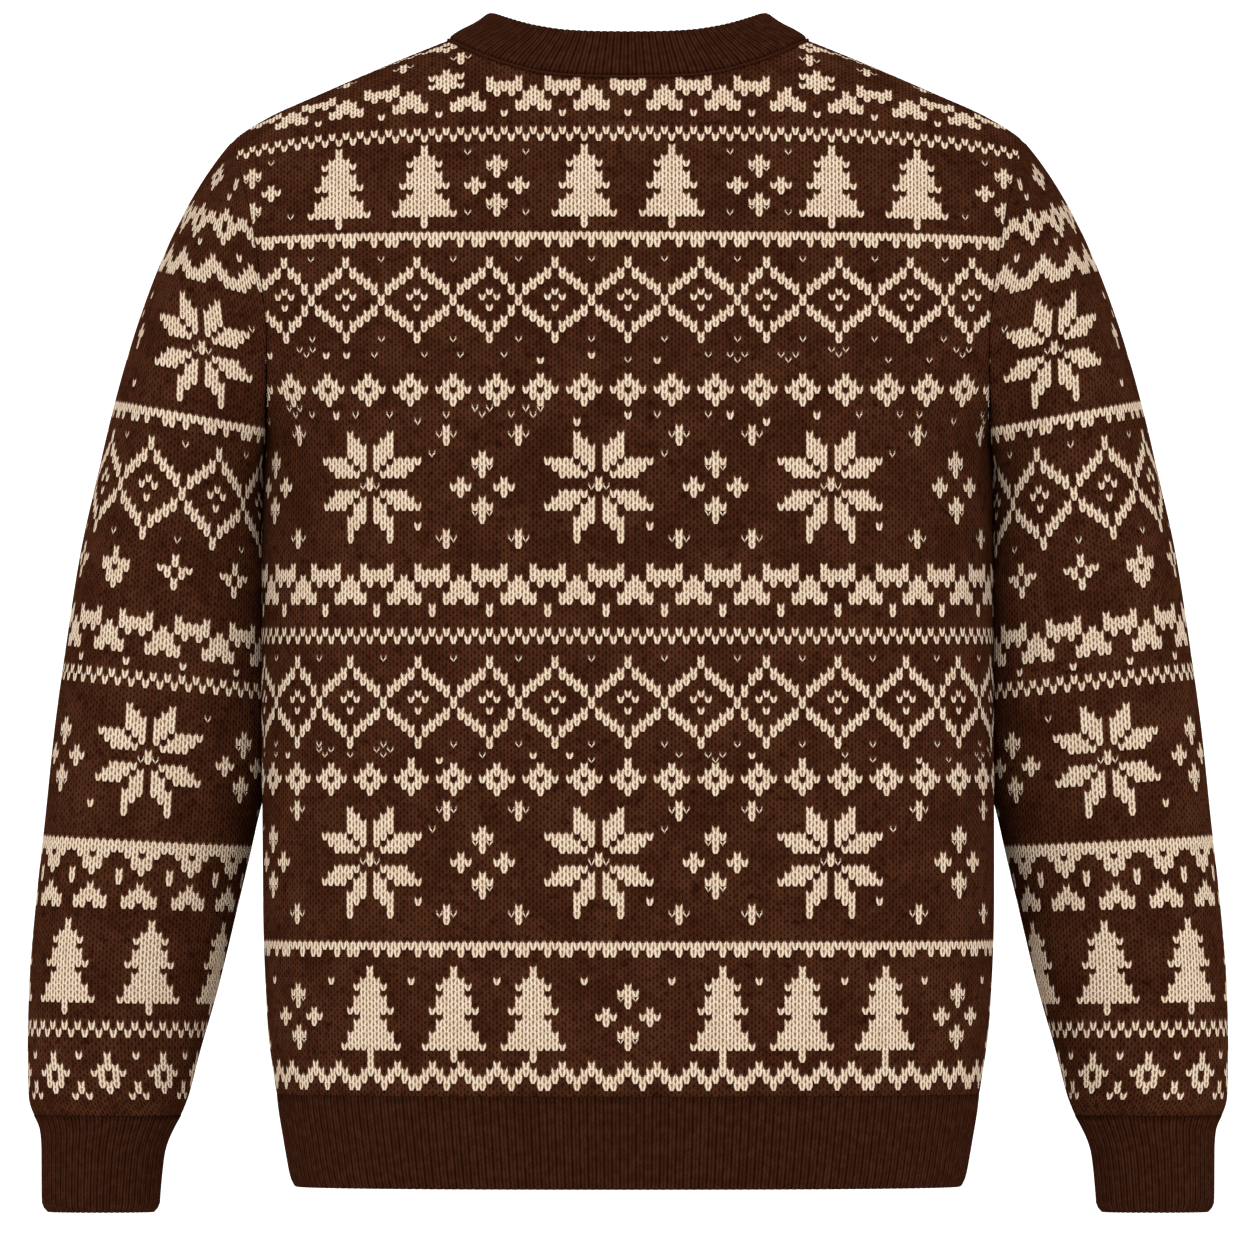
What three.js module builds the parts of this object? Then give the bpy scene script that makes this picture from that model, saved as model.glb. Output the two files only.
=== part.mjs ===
// A knitted crew-neck pullover, filled out as if worn on a general figure with the arms hanging.
// Millimetres, +Z up, +X to the wearer's right, +Y to the wearer's front. The origin is the middle of the neck
// opening, level with the tops of the shoulder seams.
//
// Cut pieces: back, front, two set-in sleeves, a doubled rib neckband, a rib hem band and two rib cuffs.
// Every piece is an open cloth wall: its outer face is a grid of points worked out from the sections below, and its
// inner face is the same grid moved in by the thickness of the cloth. Sewn edges face each other SEAM apart.

import * as THREE from 'three';

// ---- cloth and making -------------------------------------------------------------------------------------------
const KNIT = 2.4; // thickness of the two-colour knit
const RIB = 2.8; // thickness of the hem and cuff rib
const BAND = 3.2; // thickness of the doubled neckband
const SEAM = 0.3; // gap between two sewn edges
const CLEAR = 1.2; // least gap between a sleeve and the body that it hangs against

const ACROSS = 6; // cells from the middle to the shoulder's neck point, and from there to the shoulder's end
const ARMHOLE_CELLS = 12; // cells along half an armhole, from the underarm to the shoulder's end
const SIDE_CELLS = 8; // cells along a side seam
const CAP_CELLS = 5; // cells over the sleeve cap

// ---- the garment's sizes ----------------------------------------------------------------------------------------
const HEM_SEAM_Z = -629.4;
const UNDERARM_Z = -237;
const SHOULDER_END = { x: 237, z: -57.5 };
const NECK_POINT = { x: 108.6, z: 2.4 };

// Body sections: half width, how far the back and the front stand from the middle, and the roundness of the corners
// (2 is an ellipse). Above the underarm the half width runs on into the sleeve, and the armhole cuts it; above the
// shoulder's end it is the shoulder line itself.
const BODY = [
  { z: -700.0, half: 199.6, back: 99, front: 104, round: 2.35 },
  { z: -685.8, half: 202.0, back: 101, front: 106, round: 2.35 },
  { z: -629.4, half: 210.8, back: 105, front: 110, round: 2.35 },
  { z: -585.0, half: 216.6, back: 108, front: 114, round: 2.40 },
  { z: -513.0, half: 219.3, back: 109, front: 118, round: 2.45 },
  { z: -393.0, half: 219.6, back: 112, front: 120, round: 2.50 },
  { z: -309.0, half: 219.6, back: 116, front: 121, round: 2.50 },
  { z: -237.0, half: 218.0, back: 117, front: 120, round: 2.50 },
  { z: -225.0, half: 223.0, back: 117, front: 119, round: 2.50 },
  { z: -210.0, half: 233.0, back: 116, front: 118, round: 2.50 },
  { z: -190.0, half: 246.0, back: 115, front: 116, round: 2.50 },
  { z: -174.0, half: 255.0, back: 114, front: 113, round: 2.50 },
  { z: -150.0, half: 262.0, back: 111, front: 108, round: 2.50 },
  { z: -120.0, half: 264.0, back: 106, front: 99, round: 2.50 },
  { z: -90.0, half: 259.0, back: 98, front: 88, round: 2.50 },
  { z: -70.0, half: 248.5, back: 91, front: 78, round: 2.50 },
  { z: -57.5, half: 237.0, back: 86, front: 72, round: 2.50 },
  { z: -43.8, half: 216.0, back: 81, front: 66, round: 2.50 },
  { z: -29.4, half: 184.2, back: 73, front: 60, round: 2.50 },
  { z: -9.0, half: 136.8, back: 61, front: 50, round: 2.50 },
  { z: 2.4, half: 108.6, back: 53, front: 44, round: 2.50 },
  { z: 8.0, half: 95.0, back: 49, front: 41, round: 2.50 },
];

// How far out the armhole seam lies at each height, on the back and the front alike.
const ARMHOLE = [
  { z: -237.0, x: 218.0 },
  { z: -225.0, x: 217.0 },
  { z: -205.0, x: 216.2 },
  { z: -174.0, x: 216.0 },
  { z: -150.0, x: 218.4 },
  { z: -134.0, x: 220.8 },
  { z: -118.0, x: 223.2 },
  { z: -101.0, x: 226.0 },
  { z: -77.4, x: 232.0 },
  { z: -57.5, x: 237.0 },
];

// The neck seam, from the middle out to the shoulder's neck point.
const NECK_BACK = [
  { x: 0, z: -21.0 },
  { x: 17, z: -20.8 },
  { x: 37, z: -20.0 },
  { x: 52, z: -18.3 },
  { x: 72, z: -13.2 },
  { x: 89, z: -7.2 },
  { x: 101, z: -1.6 },
  { x: 108.6, z: 2.4 },
];
const NECK_FRONT = [
  { x: 0, z: -76.0 },
  { x: 25, z: -74.0 },
  { x: 50, z: -67.5 },
  { x: 74, z: -54.0 },
  { x: 92, z: -36.0 },
  { x: 104, z: -14.0 },
  { x: 108.6, z: 2.4 },
];

// The neckband's top edge, by the share of the way from the middle to the side.
const BAND_BACK = [
  { share: 0.0, x: 0.0, y: -58.0, z: 7.2 },
  { share: 0.2, x: 18.0, y: -57.0, z: 7.4 },
  { share: 0.4, x: 36.0, y: -53.5, z: 8.3 },
  { share: 0.6, x: 55.0, y: -45.5, z: 11.2 },
  { share: 0.8, x: 72.5, y: -29.0, z: 16.2 },
  { share: 0.9, x: 78.8, y: -15.5, z: 18.5 },
  { share: 1.0, x: 82.0, y: 0.0, z: 19.2 },
];
const BAND_FRONT = [
  { share: 0.0, x: 0.0, y: 62.0, z: -51.0 },
  { share: 0.2, x: 19.0, y: 61.0, z: -49.0 },
  { share: 0.4, x: 39.0, y: 56.5, z: -41.5 },
  { share: 0.6, x: 58.0, y: 47.0, z: -26.0 },
  { share: 0.8, x: 74.0, y: 29.5, z: 1.5 },
  { share: 0.9, x: 79.4, y: 15.5, z: 13.8 },
  { share: 1.0, x: 82.0, y: 0.0, z: 19.2 },
];
// The band's profile from seam to top edge: the share of the way up, how far the rib stands out from the straight
// line there, and how far the way through the cloth leans up, in degrees, as the fold rounds over.
const BAND_PROFILE = [
  { up: 0.0, out: 0.0, lean: 0 },
  { up: 0.3, out: 1.2, lean: 0 },
  { up: 0.65, out: 0.3, lean: 0 },
  { up: 0.92, out: 0.8, lean: 18 },
  { up: 1.0, out: 0.0, lean: 42 },
];

// Sleeve sections, each between its outermost and its innermost point, with its middle and its half depth from front
// to back. The first is just below the underarm and the last is the cuff seam.
const SLEEVE = [
  { outX: 315.8, outZ: -247.0, inX: 219.6, inZ: -264.0, midY: 12, deep: 73, round: 2.15 },
  { outX: 328.8, outZ: -305.0, inX: 214.0, inZ: -322.0, midY: 17, deep: 67, round: 2.15 },
  { outX: 337.2, outZ: -358.0, inX: 213.0, inZ: -372.0, midY: 22, deep: 62, round: 2.20 },
  { outX: 344.5, outZ: -410.0, inX: 214.0, inZ: -421.0, midY: 27, deep: 58, round: 2.20 },
  { outX: 350.4, outZ: -465.0, inX: 224.0, inZ: -472.0, midY: 33, deep: 54, round: 2.20 },
  { outX: 356.0, outZ: -515.0, inX: 235.0, inZ: -519.0, midY: 38, deep: 51, round: 2.20 },
  { outX: 360.2, outZ: -565.0, inX: 246.6, inZ: -567.0, midY: 43, deep: 48, round: 2.20 },
  { outX: 361.2, outZ: -605.0, inX: 257.6, inZ: -605.5, midY: 47, deep: 45, round: 2.15 },
  { outX: 360.6, outZ: -631.8, inX: 264.4, inZ: -631.8, midY: 49, deep: 42, round: 2.10 },
  { outX: 357.6, outZ: -643.0, inX: 268.8, inZ: -643.0, midY: 50, deep: 39, round: 2.10 },
];
// Cuff sections below the cuff seam.
const CUFF = [
  { outX: 357.6, outZ: -643.0, inX: 268.8, inZ: -643.0, midY: 50, deep: 39, round: 2.10 },
  { outX: 354.0, outZ: -651.5, inX: 274.0, inZ: -652.5, midY: 51, deep: 35, round: 2.10 },
  { outX: 353.0, outZ: -664.0, inX: 278.6, inZ: -665.0, midY: 51, deep: 33, round: 2.10 },
  { outX: 352.8, outZ: -696.0, inX: 282.2, inZ: -696.0, midY: 52, deep: 31, round: 2.10 },
  { outX: 350.2, outZ: -700.0, inX: 285.0, inZ: -700.0, midY: 52, deep: 28, round: 2.10 },
];
// How the cap leaves the armhole and comes down to the first section, at the top, middle and bottom of the armhole.
const CAP_REACH = { top: 60, middle: 40, bottom: 8 };
const CAP_RISE = { top: 70, middle: 44, bottom: 10 };
const CAP_SLOPE = { x: 0.66, z: -0.75 }; // the shoulder's line as it runs over into the cap

// Hem band sections, below the hem seam: how far each is drawn in from the body's own line.
const HEM = [
  { z: -629.4, drawn: 0.0 },
  { z: -655.0, drawn: 0.0 },
  { z: -680.0, drawn: 0.0 },
  { z: -685.8, drawn: 3.4 },
];

// ---- small tools ------------------------------------------------------------------------------------------------
const V = (x, y, z) => new THREE.Vector3(x, y, z);
const mix = (a, b, t) => a + (b - a) * t;
const clamp01 = (t) => Math.min(1, Math.max(0, t));
const smooth = (t) => clamp01(t) ** 2 * (3 - 2 * clamp01(t));

// A smooth track through one column of a table, with no overshoot between rows.
function track(rows, by, of) {
  const t = rows.map((r) => r[by]);
  const v = rows.map((r) => r[of]);
  const slope = [];
  for (let i = 0; i + 1 < t.length; i++) slope.push((v[i + 1] - v[i]) / (t[i + 1] - t[i]));
  const tangent = t.map((_, i) => {
    if (i === 0) return slope[0];
    if (i === t.length - 1) return slope[i - 1];
    const [a, b] = [slope[i - 1], slope[i]];
    if (a * b <= 0) return 0;
    const [ha, hb] = [t[i] - t[i - 1], t[i + 1] - t[i]];
    return (3 * (ha + hb)) / ((2 * hb + ha) / a + (hb + 2 * ha) / b);
  });
  return (at) => {
    const x = Math.min(t[t.length - 1], Math.max(t[0], at));
    let i = 0;
    while (i + 2 < t.length && x > t[i + 1]) i++;
    const h = t[i + 1] - t[i];
    const u = (x - t[i]) / h;
    return (
      v[i] * (1 + 2 * u) * (1 - u) ** 2 +
      tangent[i] * h * u * (1 - u) ** 2 +
      v[i + 1] * u * u * (3 - 2 * u) +
      tangent[i + 1] * h * u * u * (u - 1)
    );
  };
}

const half = track(BODY, 'z', 'half');
const depths = { back: track(BODY, 'z', 'back'), front: track(BODY, 'z', 'front') };
const roundness = track(BODY, 'z', 'round');
const armholeX = track(ARMHOLE, 'z', 'x');
const shoulderRows = BODY.filter((r) => r.z >= SHOULDER_END.z && r.z <= NECK_POINT.z).reverse();
const shoulderZ = track(shoulderRows, 'half', 'z');
const facing = { back: -1, front: 1 };

// The body's outer face at a place across and a height.
function onBody(side, x, z) {
  const n = roundness(z);
  const share = Math.min(1, Math.abs(x) / half(z));
  return V(x, facing[side] * depths[side](z) * (1 - share ** n) ** (1 / n), z);
}

// The direction straight out of the body's face there.
function outOfBody(side, p) {
  const value = (x, y, z) => {
    const n = roundness(z);
    return (Math.abs(x) / half(z)) ** n + (Math.abs(y) / depths[side](z)) ** n;
  };
  const e = 0.2;
  const x = p.x;
  const y = facing[side] * Math.max(0.5, Math.abs(p.y));
  return V(
    value(x + e, y, p.z) - value(x - e, y, p.z),
    value(x, y + e, p.z) - value(x, y - e, p.z),
    value(x, y, p.z + e) - value(x, y, p.z - e),
  ).normalize();
}

// Points at even steps along a fine polyline.
function evenly(line, cells) {
  const run = [0];
  for (let i = 1; i < line.length; i++) run.push(run[i - 1] + line[i].distanceTo(line[i - 1]));
  const total = run[run.length - 1];
  const out = [];
  for (let k = 0; k <= cells; k++) {
    const at = (total * k) / cells;
    let i = 1;
    while (i < line.length - 1 && run[i] < at) i++;
    out.push(line[i - 1].clone().lerp(line[i], (at - run[i - 1]) / (run[i] - run[i - 1])));
  }
  return out;
}

// Half of a body section from the middle to the side, in even steps.
function halfSection(side, z, cells) {
  const n = roundness(z);
  const line = [];
  for (let i = 0; i <= 240; i++) {
    const a = ((Math.PI / 2) * i) / 240;
    line.push(V(half(z) * Math.sin(a) ** (2 / n), facing[side] * depths[side](z) * Math.cos(a) ** (2 / n), z));
  }
  line[240].y = 0;
  return evenly(line, cells);
}

// ---- solids -----------------------------------------------------------------------------------------------------
// A wall from a grid of outer points and the way out at each. A ring's columns close on themselves.
function wall(points, ways, thick, ring) {
  const rows = points.length;
  const cols = points[0].length;
  const places = [];
  for (const row of points) for (const p of row) places.push(p.x, p.y, p.z);
  for (let j = 0; j < rows; j++)
    for (let i = 0; i < cols; i++) {
      const p = points[j][i].clone().addScaledVector(ways[j][i], -thick);
      places.push(p.x, p.y, p.z);
    }
  const at = (j, i) => j * cols + (i % cols);
  const under = rows * cols;
  const faces = [];
  const quad = (a, b, c, d) => faces.push(a, b, c, a, c, d);
  const last = ring ? cols : cols - 1;
  for (let j = 0; j + 1 < rows; j++)
    for (let i = 0; i < last; i++) {
      // each cell is split along the diagonal that bulges outwards, inside and out alike
      const k = (i + 1) % cols;
      const [a, b, c, d] = [points[j][i], points[j][k], points[j + 1][k], points[j + 1][i]];
      const out = ways[j][i].clone().add(ways[j][k]).add(ways[j + 1][k]).add(ways[j + 1][i]);
      const turned = b.clone().add(d).sub(a).sub(c).dot(out) > 0 ? 1 : 0;
      const cell = [at(j, i), at(j, i + 1), at(j + 1, i + 1), at(j + 1, i)];
      const back = [cell[0], cell[3], cell[2], cell[1]].map((v) => v + under);
      quad(...[0, 1, 2, 3].map((v) => cell[(v + turned) % 4]));
      quad(...[0, 1, 2, 3].map((v) => back[(v + turned) % 4]));
    }
  for (let i = 0; i < last; i++) {
    quad(at(0, i + 1), at(0, i), under + at(0, i), under + at(0, i + 1));
    quad(at(rows - 1, i), at(rows - 1, i + 1), under + at(rows - 1, i + 1), under + at(rows - 1, i));
  }
  if (!ring)
    for (let j = 0; j + 1 < rows; j++) {
      quad(at(j, 0), at(j + 1, 0), under + at(j + 1, 0), under + at(j, 0));
      quad(at(j + 1, cols - 1), at(j, cols - 1), under + at(j, cols - 1), under + at(j + 1, cols - 1));
    }
  let volume = 0;
  for (let f = 0; f < faces.length; f += 3) {
    const [a, b, c] = [0, 1, 2].map((k) => V(...places.slice(3 * faces[f + k], 3 * faces[f + k] + 3)));
    volume += a.dot(b.cross(c));
  }
  if (volume < 0) for (let f = 0; f < faces.length; f += 3) [faces[f + 1], faces[f + 2]] = [faces[f + 2], faces[f + 1]];
  const geometry = new THREE.BufferGeometry();
  geometry.setAttribute('position', new THREE.Float32BufferAttribute(places, 3));
  geometry.setIndex(faces);
  geometry.computeVertexNormals();
  return geometry;
}

// The way out at each point of a grid, from its neighbours; keep gives the ways already settled at seams.
function waysOut(points, ring, outwards, keep) {
  const rows = points.length;
  const cols = points[0].length;
  return points.map((row, j) =>
    row.map((p, i) => {
      if (keep && keep[j] && keep[j][i]) return keep[j][i];
      const left = ring ? row[(i + cols - 1) % cols] : row[Math.max(0, i - 1)];
      const right = ring ? row[(i + 1) % cols] : row[Math.min(cols - 1, i + 1)];
      const low = points[Math.max(0, j - 1)][i];
      const high = points[Math.min(rows - 1, j + 1)][i];
      const n = right.clone().sub(left).cross(high.clone().sub(low)).normalize();
      return n.dot(outwards(p)) < 0 ? n.negate() : n;
    }),
  );
}

// ---- the seams that pieces share --------------------------------------------------------------------------------
// Half of the armhole on the right side, from the underarm to the shoulder's end.
function armholeHalf(side) {
  const line = [];
  for (let i = 0; i <= 400; i++) {
    const z = mix(UNDERARM_Z, SHOULDER_END.z, (1 - Math.cos((Math.PI * i) / 400)) / 2);
    line.push(onBody(side, armholeX(z), z));
  }
  line[0].set(half(UNDERARM_Z), 0, UNDERARM_Z);
  line[400].set(SHOULDER_END.x, 0, SHOULDER_END.z);
  return evenly(line, ARMHOLE_CELLS);
}
const armhole = { back: armholeHalf('back'), front: armholeHalf('front') };
// The whole armhole as a loop: shoulder's end, down the front, underarm, up the back.
const armholeLoop = [...[...armhole.front].reverse().slice(0, -1), ...armhole.back.slice(0, -1)];
const armholeFace = V(UNDERARM_Z - SHOULDER_END.z, 0, SHOULDER_END.x - half(UNDERARM_Z)).normalize().negate();
const armholeMiddle = V(222, 0, -145);

// At each point of the armhole loop: the way through the cloth, and the way from the body into the sleeve.
const armholeSeam = armholeLoop.map((p, i) => {
  const along = armholeLoop[(i + 1) % armholeLoop.length].clone().sub(armholeLoop.at(i - 1)).normalize();
  const out = armholeFace.clone().cross(along).normalize();
  if (out.dot(p.clone().sub(armholeMiddle)) < 0) out.negate();
  const into = along.clone().cross(out).normalize();
  if (into.dot(armholeFace) < 0) into.negate();
  return { p, out, into };
});
const seamAt = (side, k) => armholeSeam[side === 'front' ? ARMHOLE_CELLS - k : (ARMHOLE_CELLS + k) % armholeSeam.length];

// The neck seam's half on one side, from the middle to the neck point.
function neckHalf(side) {
  const rows = side === 'back' ? NECK_BACK : NECK_FRONT;
  const z = track(rows, 'x', 'z');
  const line = [];
  for (let i = 0; i <= 300; i++) {
    const x = NECK_POINT.x * Math.sin(((Math.PI / 2) * i) / 300);
    line.push(onBody(side, x, z(x)));
  }
  line[300].set(NECK_POINT.x, 0, NECK_POINT.z);
  return evenly(line, ACROSS);
}
const neck = { back: neckHalf('back'), front: neckHalf('front') };

// ---- back and front ---------------------------------------------------------------------------------------------
function bodyPanel(side) {
  const cellsAcross = 2 * ACROSS; // from the middle to the edge
  const cNeck = NECK_POINT.x / SHOULDER_END.x;
  const share = (i) => (i <= ACROSS ? (cNeck * i) / ACROSS : mix(cNeck, 1, (i - ACROSS) / ACROSS));
  const top = (i) => {
    if (i <= ACROSS) return neck[side][i];
    const x = mix(NECK_POINT.x, SHOULDER_END.x, (i - ACROSS) / ACROSS);
    return V(x, 0, shoulderZ(x));
  };
  const halves = []; // rows of points from the middle to the right edge
  for (let j = 0; j <= SIDE_CELLS; j++) {
    const z = mix(HEM_SEAM_Z, UNDERARM_Z, j / SIDE_CELLS);
    halves.push(halfSection(side, z, cellsAcross));
  }
  const base = halves[SIDE_CELLS];
  const rise = SHOULDER_END.z - UNDERARM_Z;
  for (let k = 1; k <= ARMHOLE_CELLS; k++) {
    const edge = armhole[side][k];
    const row = [];
    for (let i = 0; i <= cellsAcross; i++) {
      const c = share(i);
      const end = top(i);
      const even = k / ARMHOLE_CELLS;
      const crowded = Math.sin((Math.PI / 2) * even);
      const sewn = (edge.z - UNDERARM_Z) / rise;
      const inner = mix(even, crowded, smooth((c - 0.25) / (cNeck - 0.25)));
      const f = mix(inner, sewn, clamp01((c - cNeck) / (1 - cNeck)) ** 3);
      const z = mix(UNDERARM_Z, end.z, f);
      if (i === cellsAcross) row.push(edge.clone());
      else if (k === ARMHOLE_CELLS) row.push(end.clone());
      else {
        const x0 = base[i].x / half(UNDERARM_Z);
        const x1 = end.x / SHOULDER_END.x;
        row.push(onBody(side, mix(x0, x1, smooth(f)) * armholeX(Math.min(z, SHOULDER_END.z)), z));
      }
    }
    halves.push(row);
  }
  // Ways out and seam gaps on the right half, then the left half by reflection.
  const ways = waysOut(halves, false, (p) => V(0, facing[side], 0.05), null);
  const tops = halves.length - 1;
  halves.forEach((row, j) => {
    // the middle column has no neighbour on its left, so it looks straight back or forward
    ways[j][0] = outOfBody(side, row[0]);
    for (let i = 1; i <= cellsAcross; i++) if (j < SIDE_CELLS) ways[j][i] = outOfBody(side, row[i]);
  });
  for (let i = 0; i <= cellsAcross; i++) {
    ways[0][i] = outOfBody(side, halves[0][i]).setZ(0).normalize();
    if (i <= ACROSS) ways[tops][i] = outOfBody(side, halves[tops][i]);
  }
  for (let i = ACROSS + 1; i < cellsAcross; i++) {
    const slope = halves[tops][i + 1].clone().sub(halves[tops][i - 1]);
    ways[tops][i] = V(-slope.z, 0, slope.x).normalize();
  }
  for (let j = 0; j < SIDE_CELLS; j++) ways[j][cellsAcross] = V(1, 0, 0);
  ways[tops][ACROSS].setY(0).normalize();
  for (let k = 0; k <= ARMHOLE_CELLS; k++) ways[SIDE_CELLS + k][cellsAcross] = seamAt(side, k).out.clone();
  // gaps
  const g = SEAM / 2;
  for (let i = 0; i <= cellsAcross; i++) halves[0][i].z += g;
  for (let j = 0; j <= SIDE_CELLS; j++) halves[j][cellsAcross].y += facing[side] * g;
  for (let i = ACROSS; i <= cellsAcross; i++) halves[tops][i].y += facing[side] * g;
  for (let i = 0; i <= ACROSS; i++) halves[tops][i].addScaledVector(neckInto(side, i), -g);
  for (let k = 0; k <= ARMHOLE_CELLS; k++) halves[SIDE_CELLS + k][cellsAcross].addScaledVector(seamAt(side, k).into, -g);
  const across = (grid) =>
    grid.map((row) => [...row.slice(1).reverse().map((p) => V(-p.x, p.y, p.z)), ...row.map((p) => p.clone())]);
  return wall(across(halves), across(ways), KNIT, false);
}

// The way from the body into the neckband at a point of the neck seam.
function neckInto(side, i) {
  const line = neck[side];
  const along = line[Math.min(ACROSS, i + 1)].clone().sub(line[Math.max(0, i - 1)]);
  if (i === 0) along.set(1, 0, 0);
  if (i === ACROSS) along.set(0, 1, 0);
  const into = along.normalize().cross(outOfBody(side, line[i]));
  if (into.z < 0) into.negate();
  return into.normalize();
}

// ---- neckband ---------------------------------------------------------------------------------------------------
// The right quarter of the loop on one side, point by point: seam place, way out of the cloth, way up, top edge.
function bandQuarter(side) {
  const rows = side === 'back' ? BAND_BACK : BAND_FRONT;
  const edge = ['x', 'y', 'z'].map((axis) => track(rows, 'share', axis));
  return neck[side].map((p, i) => {
    const out = outOfBody(side, p);
    if (i === 0) out.setX(0).normalize();
    if (i === ACROSS) out.setY(0).normalize();
    return { p, out, into: neckInto(side, i), top: V(...edge.map((f) => f(i / ACROSS))) };
  });
}

function neckband() {
  const flip = (q) => ({
    p: V(-q.p.x, q.p.y, q.p.z),
    out: V(-q.out.x, q.out.y, q.out.z),
    into: V(-q.into.x, q.into.y, q.into.z),
    top: V(-q.top.x, q.top.y, q.top.z),
  });
  const [b, f] = [bandQuarter('back'), bandQuarter('front')];
  const loop = [
    ...b.slice(0, ACROSS),
    ...f.slice(1).reverse(),
    ...f.slice(0, ACROSS).map(flip),
    ...b.slice(1).reverse().map(flip),
  ];
  // each point's own upward line and the way straight out of the band
  const lines = loop.map((q, i) => {
    const [next, last] = [loop[(i + 1) % loop.length], loop.at(i - 1)];
    const along = next.p.clone().add(next.top).sub(last.p).sub(last.top).normalize();
    const rise = q.top.clone().sub(q.p).normalize();
    const out = along.cross(rise).normalize();
    return { rise, out: out.dot(q.out) < 0 ? out.negate() : out };
  });
  const points = BAND_PROFILE.map(({ up, out }) =>
    loop.map((q, i) =>
      q.p
        .clone()
        .lerp(q.top, up)
        .addScaledVector(lines[i].out, out)
        .addScaledVector(q.into, up === 0 ? SEAM / 2 : 0),
    ),
  );
  const ways = BAND_PROFILE.map(({ up, lean }) =>
    loop.map((q, i) => {
      if (up === 0) return q.out;
      const a = (lean * Math.PI) / 180;
      return lines[i].out.clone().multiplyScalar(Math.cos(a)).addScaledVector(lines[i].rise, Math.sin(a));
    }),
  );
  return wall(points, ways, BAND, true);
}

// ---- hem band ---------------------------------------------------------------------------------------------------
function hemBand() {
  const cells = 2 * ACROSS;
  const points = HEM.map(({ z, drawn }, row) => {
    const b = halfSection('back', z, cells);
    const f = halfSection('front', z, cells);
    const loop = [
      ...b.slice(0, cells),
      ...f.slice(1).reverse(),
      ...f.slice(0, cells).map((p) => V(-p.x, p.y, p.z)),
      ...b.slice(1).reverse().map((p) => V(-p.x, p.y, p.z)),
    ];
    return loop.map((p) => {
      const side = p.y <= 0 ? 'back' : 'front';
      const out = Math.abs(p.y) < 1e-6 ? V(Math.sign(p.x), 0, 0) : outOfBody(side, p).setZ(0).normalize();
      return p.addScaledVector(out, -drawn).setZ(row === 0 ? z - SEAM / 2 : z);
    });
  });
  const ways = points.map((row) =>
    row.map((p) => {
      if (Math.abs(p.y) < 1e-6) return V(Math.sign(p.x), 0, 0);
      return outOfBody(p.y < 0 ? 'back' : 'front', V(p.x, p.y, Math.max(p.z, -685))).setZ(0).normalize();
    }),
  );
  return wall(points, ways, RIB, true);
}

// ---- sleeves and cuffs ------------------------------------------------------------------------------------------
// A section as a ring of points on the right side: out, front, in, back.
function sleeveRing(s) {
  const cells = 2 * ARMHOLE_CELLS;
  const out = V(s.outX, s.midY, s.outZ);
  const inner = V(s.inX, s.midY, s.inZ);
  const middle = out.clone().add(inner).multiplyScalar(0.5);
  const reach = out.clone().sub(middle);
  const line = [];
  for (let i = 0; i <= 720; i++) {
    const a = (2 * Math.PI * i) / 720;
    const [c, d] = [Math.cos(a), Math.sin(a)];
    line.push(
      middle
        .clone()
        .addScaledVector(reach, Math.sign(c) * Math.abs(c) ** (2 / s.round))
        .add(V(0, s.deep * Math.sign(d) * Math.abs(d) ** (2 / s.round), 0)),
    );
  }
  // even steps on each half, so that the outermost and innermost points stay points of the ring
  const front = evenly(line.slice(0, 361), cells / 2);
  const back = evenly(line.slice(360), cells / 2);
  return [...front.slice(0, -1), ...back.slice(0, -1)];
}

// Moves a point of a sleeve out until it is clear of the body's side.
function clearOfBody(p) {
  if (p.z > UNDERARM_Z || p.z < HEM_SEAM_Z) return p;
  const side = p.y < 0 ? 'back' : 'front';
  const n = roundness(p.z);
  const share = Math.min(1, Math.abs(p.y) / depths[side](p.z));
  const bodyX = half(p.z) * (1 - share ** n) ** (1 / n);
  const least = bodyX + CLEAR;
  return p.x < least ? V(least, p.y, p.z) : p;
}

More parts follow.
